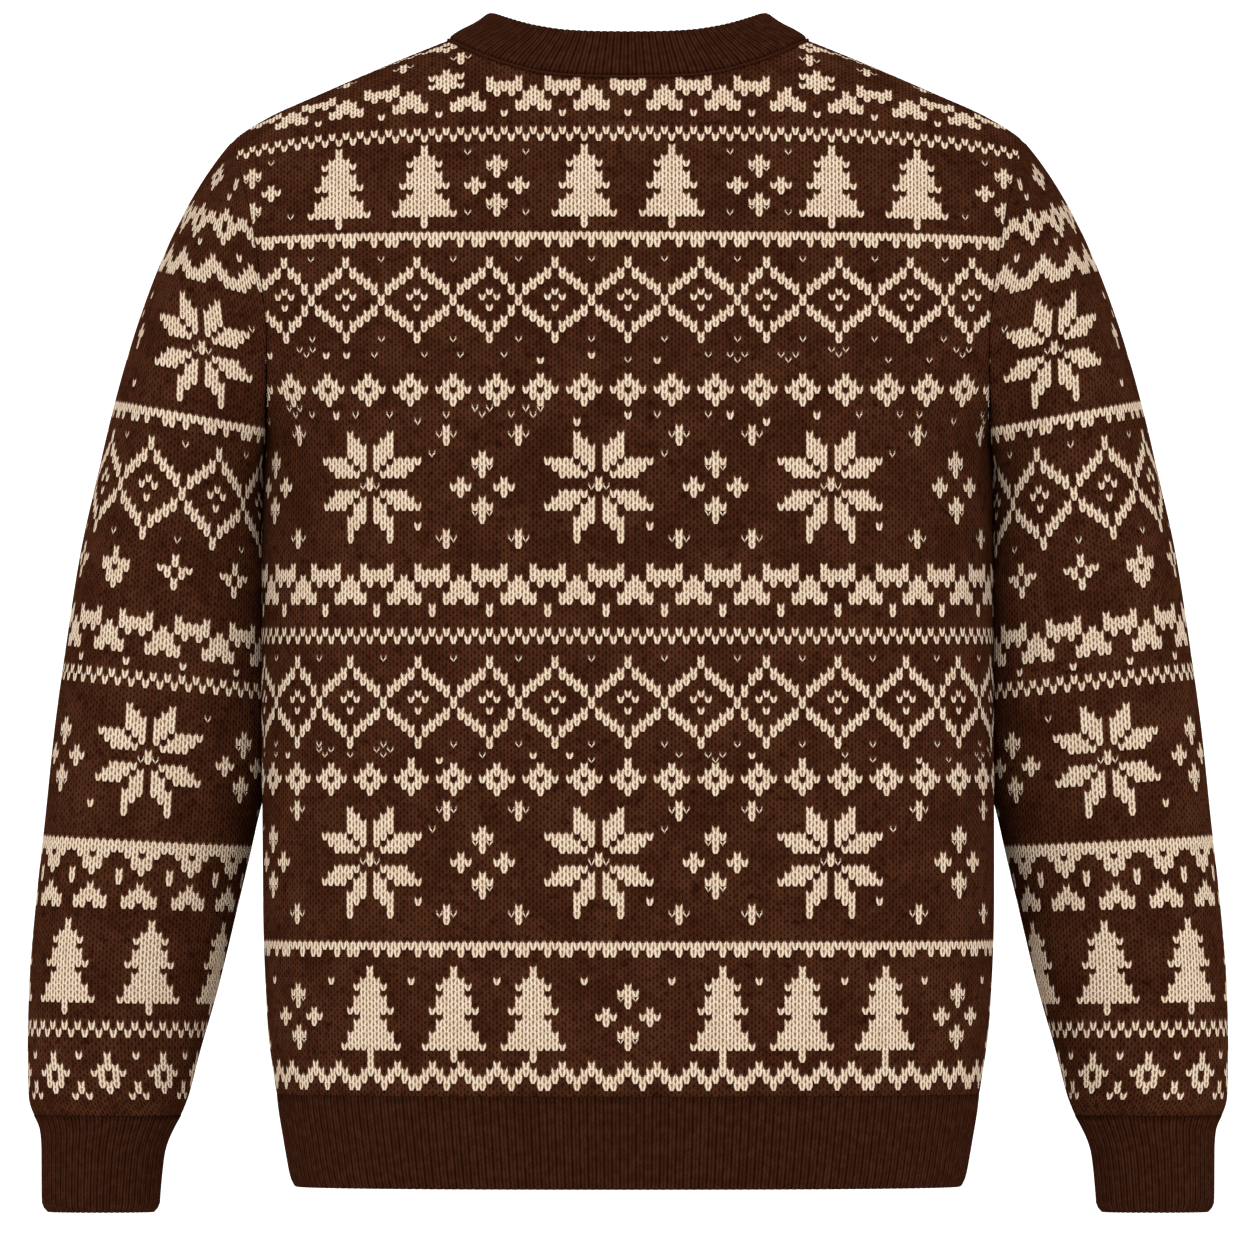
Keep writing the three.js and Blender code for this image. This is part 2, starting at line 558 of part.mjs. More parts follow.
function sleeve() {
  const first = sleeveRing(SLEEVE[0]);
  const second = sleeveRing(SLEEVE[1]);
  const rings = [];
  for (let k = 0; k < CAP_CELLS; k++) {
    const u = k / CAP_CELLS;
    rings.push(
      armholeSeam.map(({ p, into }, i) => {
        const turn = i / armholeSeam.length; // 0 at the shoulder's end, 0.5 at the underarm
        const low = (1 - Math.cos(2 * Math.PI * turn)) / 2; // 0 at the top, 1 at the underarm
        const pick = (t) => (low < 0.5 ? mix(t.top, t.middle, smooth(low * 2)) : mix(t.middle, t.bottom, smooth(low * 2 - 1)));
        const down = second[i].clone().sub(first[i]).normalize();
        const start = V(CAP_SLOPE.x, 0, CAP_SLOPE.z).lerp(into, smooth(low * 3)).lerp(down, smooth((low - 0.6) / 0.4)).normalize();
        const a = p;
        const b = p.clone().addScaledVector(start, pick(CAP_REACH));
        const d = first[i];
        const c = d.clone().addScaledVector(down, -pick(CAP_RISE));
        const w = [(1 - u) ** 3, 3 * u * (1 - u) ** 2, 3 * u * u * (1 - u), u ** 3];
        return V(0, 0, 0)
          .addScaledVector(a, w[0])
          .addScaledVector(b, w[1])
          .addScaledVector(c, w[2])
          .addScaledVector(d, w[3]);
      }),
    );
  }
  for (const s of SLEEVE) rings.push(sleeveRing(s));
  const points = rings.map((ring, j) => (j === 0 ? ring : ring.map(clearOfBody)));
  const centres = points.map((ring) => ring.reduce((sum, p) => sum.add(p), V(0, 0, 0)).divideScalar(ring.length));
  const centreNear = (p) => centres.reduce((a, b) => (p.distanceTo(a) < p.distanceTo(b) ? a : b));
  const settled = {
    0: armholeSeam.map((s) => s.out),
    [points.length - 1]: cuffWays(),
  };
  const ways = waysOut(points, true, (p) => p.clone().sub(centreNear(p)), settled);
  points[0] = points[0].map((p, i) => p.clone().addScaledVector(armholeSeam[i].into, SEAM / 2));
  points[points.length - 1].forEach((p) => (p.z += SEAM / 2));
  return { points, ways, thick: KNIT };
}

// The way out at the cuff seam, the same for the sleeve and the cuff.
function cuffWays() {
  const s = CUFF[0];
  const middle = V((s.outX + s.inX) / 2, s.midY, s.outZ);
  const wide = (s.outX - s.inX) / 2;
  return sleeveRing(s).map((p) => V((p.x - middle.x) / wide ** 2, (p.y - middle.y) / s.deep ** 2, 0).normalize());
}

function cuff() {
  const points = CUFF.map((s) => sleeveRing(s));
  const middle = V((CUFF[2].outX + CUFF[2].inX) / 2, CUFF[2].midY, 0);
  const ways = waysOut(points, true, (p) => V(p.x - middle.x, p.y - middle.y, 0), { 0: cuffWays() });
  points[0].forEach((p) => (p.z -= SEAM / 2));
  return { points, ways, thick: RIB };
}

const onSide = ({ points, ways, thick }, sign) =>
  wall(
    points.map((row) => row.map((p) => V(sign * p.x, p.y, p.z))),
    ways.map((row) => row.map((p) => V(sign * p.x, p.y, p.z))),
    thick,
    true,
  );

// ---- the garment ------------------------------------------------------------------------------------------------
const knitLook = () => new THREE.MeshStandardMaterial({ color: 0x42261b, roughness: 0.92, metalness: 0 });
const ribLook = () => new THREE.MeshStandardMaterial({ color: 0x391d14, roughness: 0.9, metalness: 0 });

const garment = new THREE.Group();
garment.name = 'pullover';
function add(name, geometry, look) {
  const mesh = new THREE.Mesh(geometry, look);
  mesh.name = name;
  garment.add(mesh);
}

add('body_back', bodyPanel('back'), knitLook());
add('body_front', bodyPanel('front'), knitLook());
add('sleeve_right', onSide(sleeve(), 1), knitLook());
add('sleeve_left', onSide(sleeve(), -1), knitLook());
add('neckband', neckband(), ribLook());
add('hem_band', hemBand(), ribLook());
add('cuff_right', onSide(cuff(), 1), ribLook());
add('cuff_left', onSide(cuff(), -1), ribLook());

export default garment;
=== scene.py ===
import math
import bpy
import numpy as np
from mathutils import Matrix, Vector
from mathutils.geometry import delaunay_2d_cdt


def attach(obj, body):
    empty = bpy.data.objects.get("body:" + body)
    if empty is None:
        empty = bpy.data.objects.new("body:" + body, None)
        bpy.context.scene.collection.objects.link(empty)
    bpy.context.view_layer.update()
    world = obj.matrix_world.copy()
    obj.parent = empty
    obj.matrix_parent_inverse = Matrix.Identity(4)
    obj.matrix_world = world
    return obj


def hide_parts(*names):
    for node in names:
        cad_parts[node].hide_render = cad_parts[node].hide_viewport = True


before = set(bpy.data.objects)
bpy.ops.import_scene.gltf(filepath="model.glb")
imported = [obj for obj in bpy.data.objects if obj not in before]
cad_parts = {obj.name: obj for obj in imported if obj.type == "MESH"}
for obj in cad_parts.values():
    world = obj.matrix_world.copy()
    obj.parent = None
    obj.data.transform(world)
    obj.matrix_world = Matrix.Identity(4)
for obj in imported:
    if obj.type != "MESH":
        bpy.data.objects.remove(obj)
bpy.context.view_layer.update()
scene = bpy.context.scene

# The pullover is worked out in millimetres and made in metres.
MM = 0.001

# ---- camera, light and floor ------------------------------------------------------------------------------------
camera_data = bpy.data.cameras.new("camera")
camera = bpy.data.objects.new("camera", camera_data)
scene.collection.objects.link(camera)
camera.location = (-0.0006, -16.0, -0.3492)
camera.rotation_euler = (math.radians(90), 0, 0)
camera_data.sensor_width = 36
camera_data.lens = 36 * 16.0 / 0.7524
camera_data.clip_end = 200
scene.camera = camera

world = bpy.data.worlds.new("studio")
scene.world = world
world.use_nodes = True
world.node_tree.nodes["Background"].inputs["Color"].default_value = (1.0, 1.0, 1.0, 1)
world.node_tree.nodes["Background"].inputs["Strength"].default_value = 1.45
scene.view_settings.view_transform = "Standard"
scene.view_settings.look = "None"


def area_light(name, place, aim, size, power, colour=(1, 1, 1)):
    data = bpy.data.lights.new(name, "AREA")
    data.shape = "DISK"
    data.size = size
    data.energy = power
    data.color = colour
    light = bpy.data.objects.new(name, data)
    scene.collection.objects.link(light)
    light.location = place
    light.rotation_euler = (Vector(aim) - Vector(place)).to_track_quat("-Z", "Y").to_euler()
    return light


area_light("key", (-1.5, -2.5, 1.4), (0, 0, -0.3), 1.3, 16)
area_light("fill", (1.9, -2.2, 0.2), (0, 0, -0.35), 1.6, 6)


# ---- node helpers -----------------------------------------------------------------------------------------------
class Graph:
    def __init__(self, name):
        self.material = bpy.data.materials.new(name)
        self.material.use_nodes = True
        self.tree = self.material.node_tree
        self.nodes = self.tree.nodes
        self.bsdf = next(n for n in self.nodes if n.type == "BSDF_PRINCIPLED")

    def node(self, kind, **settings):
        n = self.nodes.new(kind)
        for key, value in settings.items():
            setattr(n, key, value)
        return n

    def plug(self, socket, value):
        if isinstance(value, bpy.types.NodeSocket):
            self.tree.links.new(value, socket)
        elif value is not None:
            socket.default_value = value

    def math(self, operation, a, b=None, c=None, clamp=False):
        n = self.node("ShaderNodeMath", operation=operation, use_clamp=clamp)
        for socket, value in zip(n.inputs, (a, b, c)):
            self.plug(socket, value)
        return n.outputs[0]

    def add(self, a, b):
        return self.math("ADD", a, b)

    def sub(self, a, b):
        return self.math("SUBTRACT", a, b)

    def mul(self, a, b):
        return self.math("MULTIPLY", a, b)

    def step(self, value, low, high, to_low=0.0, to_high=1.0):
        n = self.node("ShaderNodeMapRange", interpolation_type="SMOOTHSTEP")
        for key, v in (("Value", value), ("From Min", low), ("From Max", high), ("To Min", to_low), ("To Max", to_high)):
            self.plug(n.inputs[key], v)
        return n.outputs["Result"]

    def mix(self, share, a, b):
        n = self.node("ShaderNodeMix", data_type="RGBA")
        self.plug(n.inputs[0], share)
        self.plug(n.inputs[6], a)
        self.plug(n.inputs[7], b)
        return n.outputs[2]

    def scaled(self, colour, by):
        n = self.node("ShaderNodeVectorMath", operation="SCALE")
        self.plug(n.inputs[0], colour)
        self.plug(n.inputs["Scale"], by)
        return n.outputs[0]

    def attribute(self, name):
        return self.node("ShaderNodeAttribute", attribute_name=name).outputs["Fac"]

    def uv(self, name):
        n = self.node("ShaderNodeUVMap", uv_map=name)
        split = self.node("ShaderNodeSeparateXYZ")
        self.plug(split.inputs[0], n.outputs[0])
        return split.outputs[0], split.outputs[1]

    def noise(self, scale, detail=2.0, rough=0.5, coords=None):
        if coords is None:
            coords = self.node("ShaderNodeTexCoord").outputs["Object"]
        n = self.node("ShaderNodeTexNoise")
        n.inputs["Scale"].default_value = scale
        n.inputs["Detail"].default_value = detail
        n.inputs["Roughness"].default_value = rough
        self.plug(n.inputs["Vector"], coords)
        return n.outputs[0], n.outputs[1]

    def bump(self, height, distance, strength=1.0):
        n = self.node("ShaderNodeBump")
        n.inputs["Strength"].default_value = strength
        n.inputs["Distance"].default_value = distance
        self.plug(n.inputs["Height"], height)
        self.plug(self.bsdf.inputs["Normal"], n.outputs[0])


GROUND = (0.0342, 0.0096, 0.0042, 1)
GROUND_DEEP = (0.0204, 0.0054, 0.0024, 1)
GROUND_WARM = (0.0554, 0.0180, 0.0080, 1)
CREAM = (0.668, 0.540, 0.404, 1)
CREAM_WARM = (0.608, 0.470, 0.338, 1)
RIB_BROWN = (0.0272, 0.0080, 0.0037, 1)
RIB_WARM = (0.0375, 0.0120, 0.0060, 1)


def wool(g, sheen, tint):
    g.bsdf.inputs["Roughness"].default_value = 0.9
    g.bsdf.inputs["Specular IOR Level"].default_value = 0.0
    g.bsdf.inputs["Sheen Weight"].default_value = sheen
    g.bsdf.inputs["Sheen Roughness"].default_value = 0.5
    g.bsdf.inputs["Sheen Tint"].default_value = tint


def knit_material():
    """Stockinette in two colours. Each stitch is a V of two legs, whose ends rise into the course above."""
    g = Graph("two_colour_knit")
    u, v = g.uv("stitch")
    own, below, tone = g.attribute("own"), g.attribute("below"), g.attribute("tone")
    _, wobble = g.noise(330.0, 2.0)
    split = g.node("ShaderNodeSeparateXYZ")
    g.plug(split.inputs[0], wobble)
    u = g.add(u, g.mul(g.sub(split.outputs[0], 0.5), 0.20))
    v = g.add(v, g.mul(g.sub(split.outputs[1], 0.5), 0.32))
    across = g.math("ABSOLUTE", g.sub(u, 0.5))
    # the stitch's own legs, from near the middle at its foot out to its shoulders
    own_off = g.math("DIVIDE", g.sub(across, g.math("MULTIPLY_ADD", v, 0.19, 0.145)), 0.185)
    own_high = g.sub(1.0, g.mul(own_off, own_off))
    own_high = g.sub(own_high, g.step(v, 0.12, -0.10, 0.0, 1.0))
    # the tips of the stitch below
    tip_off = g.math("DIVIDE", g.sub(across, g.math("MULTIPLY_ADD", v, 0.05, 0.355)), 0.155)
    tip_high = g.sub(0.95, g.mul(tip_off, tip_off))
    tip_high = g.sub(tip_high, g.step(v, 0.12, 0.46, 0.0, 1.3))
    front = g.math("GREATER_THAN", own_high, tip_high)
    high = g.math("MAXIMUM", g.math("MAXIMUM", own_high, tip_high), 0.0)
    # a faint light stitch shows as a small thin V in the upper part of its place
    small = g.math("ABSOLUTE", g.sub(across, g.math("MULTIPLY_ADD", v, 0.62, -0.20)))
    small = g.mul(g.math("LESS_THAN", small, 0.105), g.math("LESS_THAN", v, 0.93))
    shown = g.math("MAXIMUM", g.math("GREATER_THAN", own, 0.8), g.mul(small, g.math("GREATER_THAN", own, 0.02)))
    light = g.math("MULTIPLY_ADD", front, g.sub(shown, below), below)
    light = g.math("MINIMUM", g.mul(light, 1.5), 1.0)
    # the holes: inside each V under the foot of the next one, and between wales beside its foot; they are coloured as
    # painted shade below
    inner = g.math("DIVIDE", across, 0.12)
    rise = g.math("DIVIDE", g.sub(v, 0.72), 0.24)
    hole_in = g.add(g.mul(inner, inner), g.mul(rise, rise))
    outer = g.math("DIVIDE", g.sub(0.5, across), 0.115)
    rise = g.math("DIVIDE", g.sub(v, 0.24), 0.21)
    hole_out = g.add(g.mul(outer, outer), g.mul(rise, rise))
    hole = g.step(g.math("MINIMUM", hole_in, hole_out), 1.25, 0.25)
    high = g.mul(high, g.sub(1.0, g.mul(hole, 0.85)))
    # colours
    cloud, _ = g.noise(38.0, 3.0)
    patch, _ = g.noise(260.0, 2.0)
    fibre, _ = g.noise(1500.0, 2.0, 0.6)
    brown = g.mix(g.step(g.add(g.mul(cloud, 0.6), g.mul(patch, 0.5)), 0.40, 0.72), GROUND, GROUND_WARM)
    brown = g.mix(g.step(patch, 0.42, 0.25), brown, GROUND_DEEP)
    cream = g.mix(g.step(g.add(patch, g.mul(tone, 0.25)), 0.50, 0.80), CREAM, CREAM_WARM)
    brown = g.scaled(brown, g.math("MULTIPLY_ADD", tone, 0.22, 0.90))
    cream = g.scaled(cream, g.math("MULTIPLY_ADD", fibre, 0.24, 0.88))
    yarn = g.mix(light, brown, cream)
    # painted shade: edge darkens the creases between legs, more on the light yarn, and depth adds the holes to it
    edge = g.mul(g.sub(1.0, g.step(high, -0.05, 0.34)), g.math("MULTIPLY_ADD", light, 0.62, 0.30))
    depth = g.mul(g.sub(1.0, edge), g.sub(1.0, g.mul(hole, 0.92)))
    # painted shade: the holes take a near-black colour, or a light brown under a light stitch
    painted_hole_shade = g.mix(light, (0.0085, 0.0028, 0.0014, 1), (0.20, 0.105, 0.062, 1))
    colour = g.mix(depth, painted_hole_shade, yarn)
    g.plug(g.bsdf.inputs["Base Color"], colour)
    wool(g, 0.0, (0.62, 0.40, 0.28, 1))
    raised = g.mul(g.math("POWER", high, 0.6), g.math("MULTIPLY_ADD", light, 0.5, 0.5))
    g.bump(g.add(g.sub(raised, g.mul(hole, 0.4)), g.mul(fibre, 0.22)), 0.0010, 0.9)
    return g.material


def inside_material():
    """The wrong side of the knit: rows of purl bumps."""
    g = Graph("knit_wrong_side")
    u, v = g.uv("stitch")
    row = g.math("FRACT", v)
    column = g.math("FRACT", g.math("MULTIPLY_ADD", g.math("FLOOR", v), 0.5, u))
    a = g.sub(g.mul(row, 2.0), 1.0)
    b = g.sub(g.mul(column, 2.0), 1.0)
    high = g.math("MAXIMUM", g.sub(1.0, g.add(g.mul(a, a), g.mul(g.mul(b, b), 0.55))), 0.0)
    patch, _ = g.noise(120.0, 3.0)
    brown = g.mix(g.step(patch, 0.35, 0.68), GROUND_DEEP, GROUND_WARM)
    strand = g.mul(g.step(g.noise(46.0, 1.0)[0], 0.56, 0.66), g.step(row, 0.55, 0.8))
    yarn = g.mix(g.mul(strand, 0.55), brown, CREAM_WARM)
    # painted shade: the valleys between the purl bumps are painted near black
    g.plug(g.bsdf.inputs["Base Color"], g.mix(g.step(high, 0.0, 0.5), (0.016, 0.0055, 0.003, 1), yarn))
    wool(g, 0.035, (0.62, 0.40, 0.28, 1))
    g.bump(high, 0.0009, 0.8)
    return g.material


def rib_material():
    """One-and-one rib: u runs across each rib and v counts courses."""
    g = Graph("brown_rib")
    u, v = g.uv("stitch")
    _, wobble = g.noise(420.0, 2.0)
    split = g.node("ShaderNodeSeparateXYZ")
    g.plug(split.inputs[0], wobble)
    u = g.add(u, g.mul(g.sub(split.outputs[0], 0.5), 0.16))
    across = g.math("ABSOLUTE", g.sub(g.math("FRACT", u), 0.5))
    rise = g.math("FRACT", v)
    # two legs to a rib, with a dotted line between them and a gap between ribs, both darkened below as painted shade
    leg = g.math("DIVIDE", g.sub(across, g.math("MULTIPLY_ADD", rise, 0.06, 0.20)), 0.19)
    high = g.math("MAXIMUM", g.sub(1.0, g.mul(leg, leg)), 0.0)
    gap = g.step(across, 0.38, 0.49)
    middle = g.mul(g.step(across, 0.11, 0.02), g.step(g.math("ABSOLUTE", g.sub(rise, 0.5)), 0.46, 0.16))
    patch, _ = g.noise(210.0, 3.0)
    fibre, _ = g.noise(1500.0, 2.0, 0.6)
    brown = g.mix(g.step(patch, 0.38, 0.68), RIB_BROWN, RIB_WARM)
    brown = g.mix(g.attribute("bead"), brown, GROUND)
    brown = g.scaled(brown, g.math("MULTIPLY_ADD", fibre, 0.36, 0.86))
    # painted shade: darker in the gap between ribs and the dotted line, and darker off the legs' crests
    shade = g.sub(1.0, g.math("MULTIPLY_ADD", gap, 0.58, g.mul(middle, 0.42)))
    shade = g.mul(shade, g.math("MULTIPLY_ADD", high, 0.42, 0.66))
    shade = g.mul(g.math("MAXIMUM", shade, g.mul(g.attribute("bead"), 0.95)), g.sub(1.0, g.attribute("seam_shade")))
    g.plug(g.bsdf.inputs["Base Color"], g.scaled(brown, shade))
    wool(g, 0.0, (0.62, 0.40, 0.28, 1))
    g.bump(g.add(g.sub(g.mul(high, 0.7), g.mul(gap, 0.6)), g.mul(fibre, 0.2)), 0.0006, 0.8)
    return g.material


# ---- the garment's sizes, as in the CAD model -------------------------------------------------------------------
KNIT, RIB, BAND, SEAM, CLEAR = 2.4, 2.8, 3.2, 0.04, 0.03
HEM_Z, UNDERARM_Z, BEND_Z = -629.4, -237.0, -130.0
SHOULDER_X, SHOULDER_Z = 237.0, -57.5
NECK_X, NECK_Z = 108.6, 2.4
# z, half width, back depth, front depth, roundness
BODY = np.array([
    (-700.0, 199.6, 99, 104, 2.35), (-685.8, 202.0, 101, 106, 2.35), (-629.4, 210.8, 105, 110, 2.35),
    (-585.0, 216.6, 108, 114, 2.40), (-513.0, 219.3, 109, 118, 2.45), (-393.0, 219.6, 112, 120, 2.50),
    (-309.0, 219.6, 116, 121, 2.50), (-237.0, 218.0, 117, 120, 2.50), (-225.0, 223.0, 117, 119, 2.50),
    (-210.0, 233.0, 116, 118, 2.50), (-190.0, 246.0, 115, 116, 2.50), (-174.0, 255.0, 114, 113, 2.50),
    (-150.0, 262.0, 111, 108, 2.50), (-120.0, 264.0, 106, 99, 2.50), (-90.0, 259.0, 98, 88, 2.50),
    (-70.0, 248.5, 91, 78, 2.50), (-57.5, 237.0, 86, 72, 2.50), (-43.8, 216.0, 81, 66, 2.50),
    (-29.4, 184.2, 73, 60, 2.50), (-9.0, 136.8, 61, 50, 2.50), (2.4, 108.6, 53, 44, 2.50), (8.0, 95.0, 49, 41, 2.50),
])
ARMHOLE = np.array([
    (-237.0, 218.0), (-225.0, 217.0), (-205.0, 216.2), (-174.0, 216.0), (-150.0, 218.4), (-134.0, 220.8),
    (-118.0, 223.2), (-101.0, 226.0), (-77.4, 232.0), (-57.5, 237.0),
])
NECK_BACK = np.array([
    (0, -21.0), (17, -20.8), (37, -20.0), (52, -18.3), (72, -13.2), (89, -7.2), (101, -1.6), (108.6, 2.4),
])
NECK_FRONT = np.array([(0, -76.0), (25, -74.0), (50, -67.5), (74, -54.0), (92, -36.0), (104, -14.0), (108.6, 2.4)])
# share, x, y, z of the neckband's top edge
BAND_BACK = np.array([
    (0.0, 0.0, -58.0, 7.2), (0.2, 18.0, -57.0, 7.4), (0.4, 36.0, -53.5, 8.3), (0.6, 55.0, -45.5, 11.2),
    (0.8, 72.5, -29.0, 16.2), (0.9, 78.8, -15.5, 18.5), (1.0, 82.0, 0.0, 19.2),
])
BAND_FRONT = np.array([
    (0.0, 0.0, 62.0, -51.0), (0.2, 19.0, 61.0, -49.0), (0.4, 39.0, 56.5, -41.5), (0.6, 58.0, 47.0, -26.0),
    (0.8, 74.0, 29.5, 1.5), (0.9, 79.4, 15.5, 13.8), (1.0, 82.0, 0.0, 19.2),
])
# outX, outZ, inX, inZ, midY, deep, round
SLEEVE = np.array([
    (315.8, -247.0, 217.2, -264.0, 12, 73, 2.15), (328.8, -305.0, 214.0, -322.0, 17, 67, 2.15),
    (337.2, -358.0, 213.0, -372.0, 22, 62, 2.20), (344.5, -410.0, 214.0, -421.0, 27, 58, 2.20),
    (350.4, -465.0, 224.0, -472.0, 33, 54, 2.20), (356.0, -515.0, 235.0, -519.0, 38, 51, 2.20),
    (360.2, -565.0, 246.6, -567.0, 43, 48, 2.20), (361.2, -605.0, 257.6, -605.5, 47, 45, 2.15),
    (360.6, -631.8, 264.4, -631.8, 49, 42, 2.10), (357.6, -643.0, 268.8, -643.0, 50, 39, 2.10),
])
CUFF = np.array([
    (357.6, -643.0, 268.8, -643.0, 50, 39, 2.10), (354.0, -651.5, 274.0, -652.5, 51, 35, 2.10),
    (353.0, -664.0, 278.6, -665.0, 51, 33, 2.10), (352.9, -690.0, 281.4, -690.0, 52, 31, 2.10),
    (352.6, -696.6, 281.9, -696.6, 52, 30.6, 2.10), (349.4, -701.0, 285.0, -701.0, 52, 27.4, 2.10),
])
CAP_REACH, CAP_RISE, CAP_SLOPE = (60, 40, 8), (70, 44, 10), np.array([0.66, 0.0, -0.75])
# The lie of the sleeve's courses: middle height, middle distance out, tilt in degrees. Below the cap they follow
# the sleeve's sections.
COURSES = [(-40.0, 236.0, 15.0), (-98.0, 244.0, 15.0), (-132.0, 250.0, 15.5), (-183.6, 256.0, 11.0)] + [
    ((s[1] + s[3]) / 2, (s[0] + s[2]) / 2, math.degrees(math.atan2(s[1] - s[3], s[0] - s[2]))) for s in SLEEVE
]


# ---- small tools ------------------------------------------------------------------------------------------------
def track(t, v):
    """A smooth track with no overshoot between rows."""
    t, v = np.asarray(t, float), np.asarray(v, float)
    if t[0] > t[-1]:
        t, v = t[::-1], v[::-1]
    h = np.diff(t)
    slope = np.diff(v) / h
    m = np.zeros(len(t))
    m[0], m[-1] = slope[0], slope[-1]
    for i in range(1, len(t) - 1):
        a, b = slope[i - 1], slope[i]
        if a * b > 0:
            m[i] = (3 * (h[i - 1] + h[i])) / ((2 * h[i] + h[i - 1]) / a + (h[i] + 2 * h[i - 1]) / b)

    def at(x):
        x = np.clip(np.asarray(x, float), t[0], t[-1])
        i = np.clip(np.searchsorted(t, x, side="left") - 1, 0, len(t) - 2)
        u = (x - t[i]) / h[i]
        return (
            v[i] * (1 + 2 * u) * (1 - u) ** 2 + m[i] * h[i] * u * (1 - u) ** 2
            + v[i + 1] * u * u * (3 - 2 * u) + m[i + 1] * h[i] * u * u * (u - 1)
        )

    return at


def smooth(t):
    t = np.clip(t, 0, 1)
    return t * t * (3 - 2 * t)


def unit(v):
    return v / np.maximum(np.linalg.norm(v, axis=-1, keepdims=True), 1e-12)


def spaced(line, shares):
    """Points at the given shares of a polyline's length."""
    run = np.concatenate([[0], np.cumsum(np.linalg.norm(np.diff(line, axis=0), axis=1))])
    return np.stack([np.interp(np.asarray(shares) * run[-1], run, line[:, k]) for k in range(3)], axis=-1)


half = track(BODY[:, 0], BODY[:, 1])
depth = {-1: track(BODY[:, 0], BODY[:, 2]), 1: track(BODY[:, 0], BODY[:, 3])}
roundness = track(BODY[:, 0], BODY[:, 4])
armhole_x = track(ARMHOLE[:, 0], ARMHOLE[:, 1])
neck_z = {-1: track(NECK_BACK[:, 0], NECK_BACK[:, 1]), 1: track(NECK_FRONT[:, 0], NECK_FRONT[:, 1])}
heights = np.linspace(8.0, -120.0, 6000)


def shoulder_z(x):
    """The height of the body's outermost line above its widest place, at a distance out."""
    return np.interp(x, half(heights), heights)


def on_body(side, x, z):
    n = roundness(z)
    share = np.clip(np.abs(x) / half(z), 0, 1)
    return np.stack([x, side * depth[side](z) * (1 - share**n) ** (1 / n), z], axis=-1)


def out_of_body(side, p):
    x, y, z = p[..., 0], side * np.maximum(0.5, np.abs(p[..., 1])), p[..., 2]

    def value(x, y, z):
        n = roundness(z)
        return (np.abs(x) / half(z)) ** n + (np.abs(y) / depth[side](z)) ** n

    e = 0.2
    return unit(np.stack([
        value(x + e, y, z) - value(x - e, y, z),
        value(x, y + e, z) - value(x, y - e, z),
        value(x, y, z + e) - value(x, y, z - e),
    ], axis=-1))


# ---- panels: a flat cut laid on the garment's form ----------------------------------------------------------------
WALE = 4.35  # width of a stitch
FINE = 4  # grid columns to a stitch
DROOP = track([-400.0, -5.0, 16.0, 82.0, 150.0, 220.0], [0.0, 0.0, 3.5, 9.5, 11.0, 11.5])
NARROW = track([-660.0, -260.0, -185.0, -110.0, -60.0, -40.0, -20.0], [1.0, 1.0, 0.95, 0.73, 0.58, 0.55, 0.55])
SHIFT = track([-660.0, -260.0, -200.0, -150.0, -110.0, -60.0, -20.0], [0.0, 0.0, 3.0, 10.5, 20.0, 34.0, 44.0])


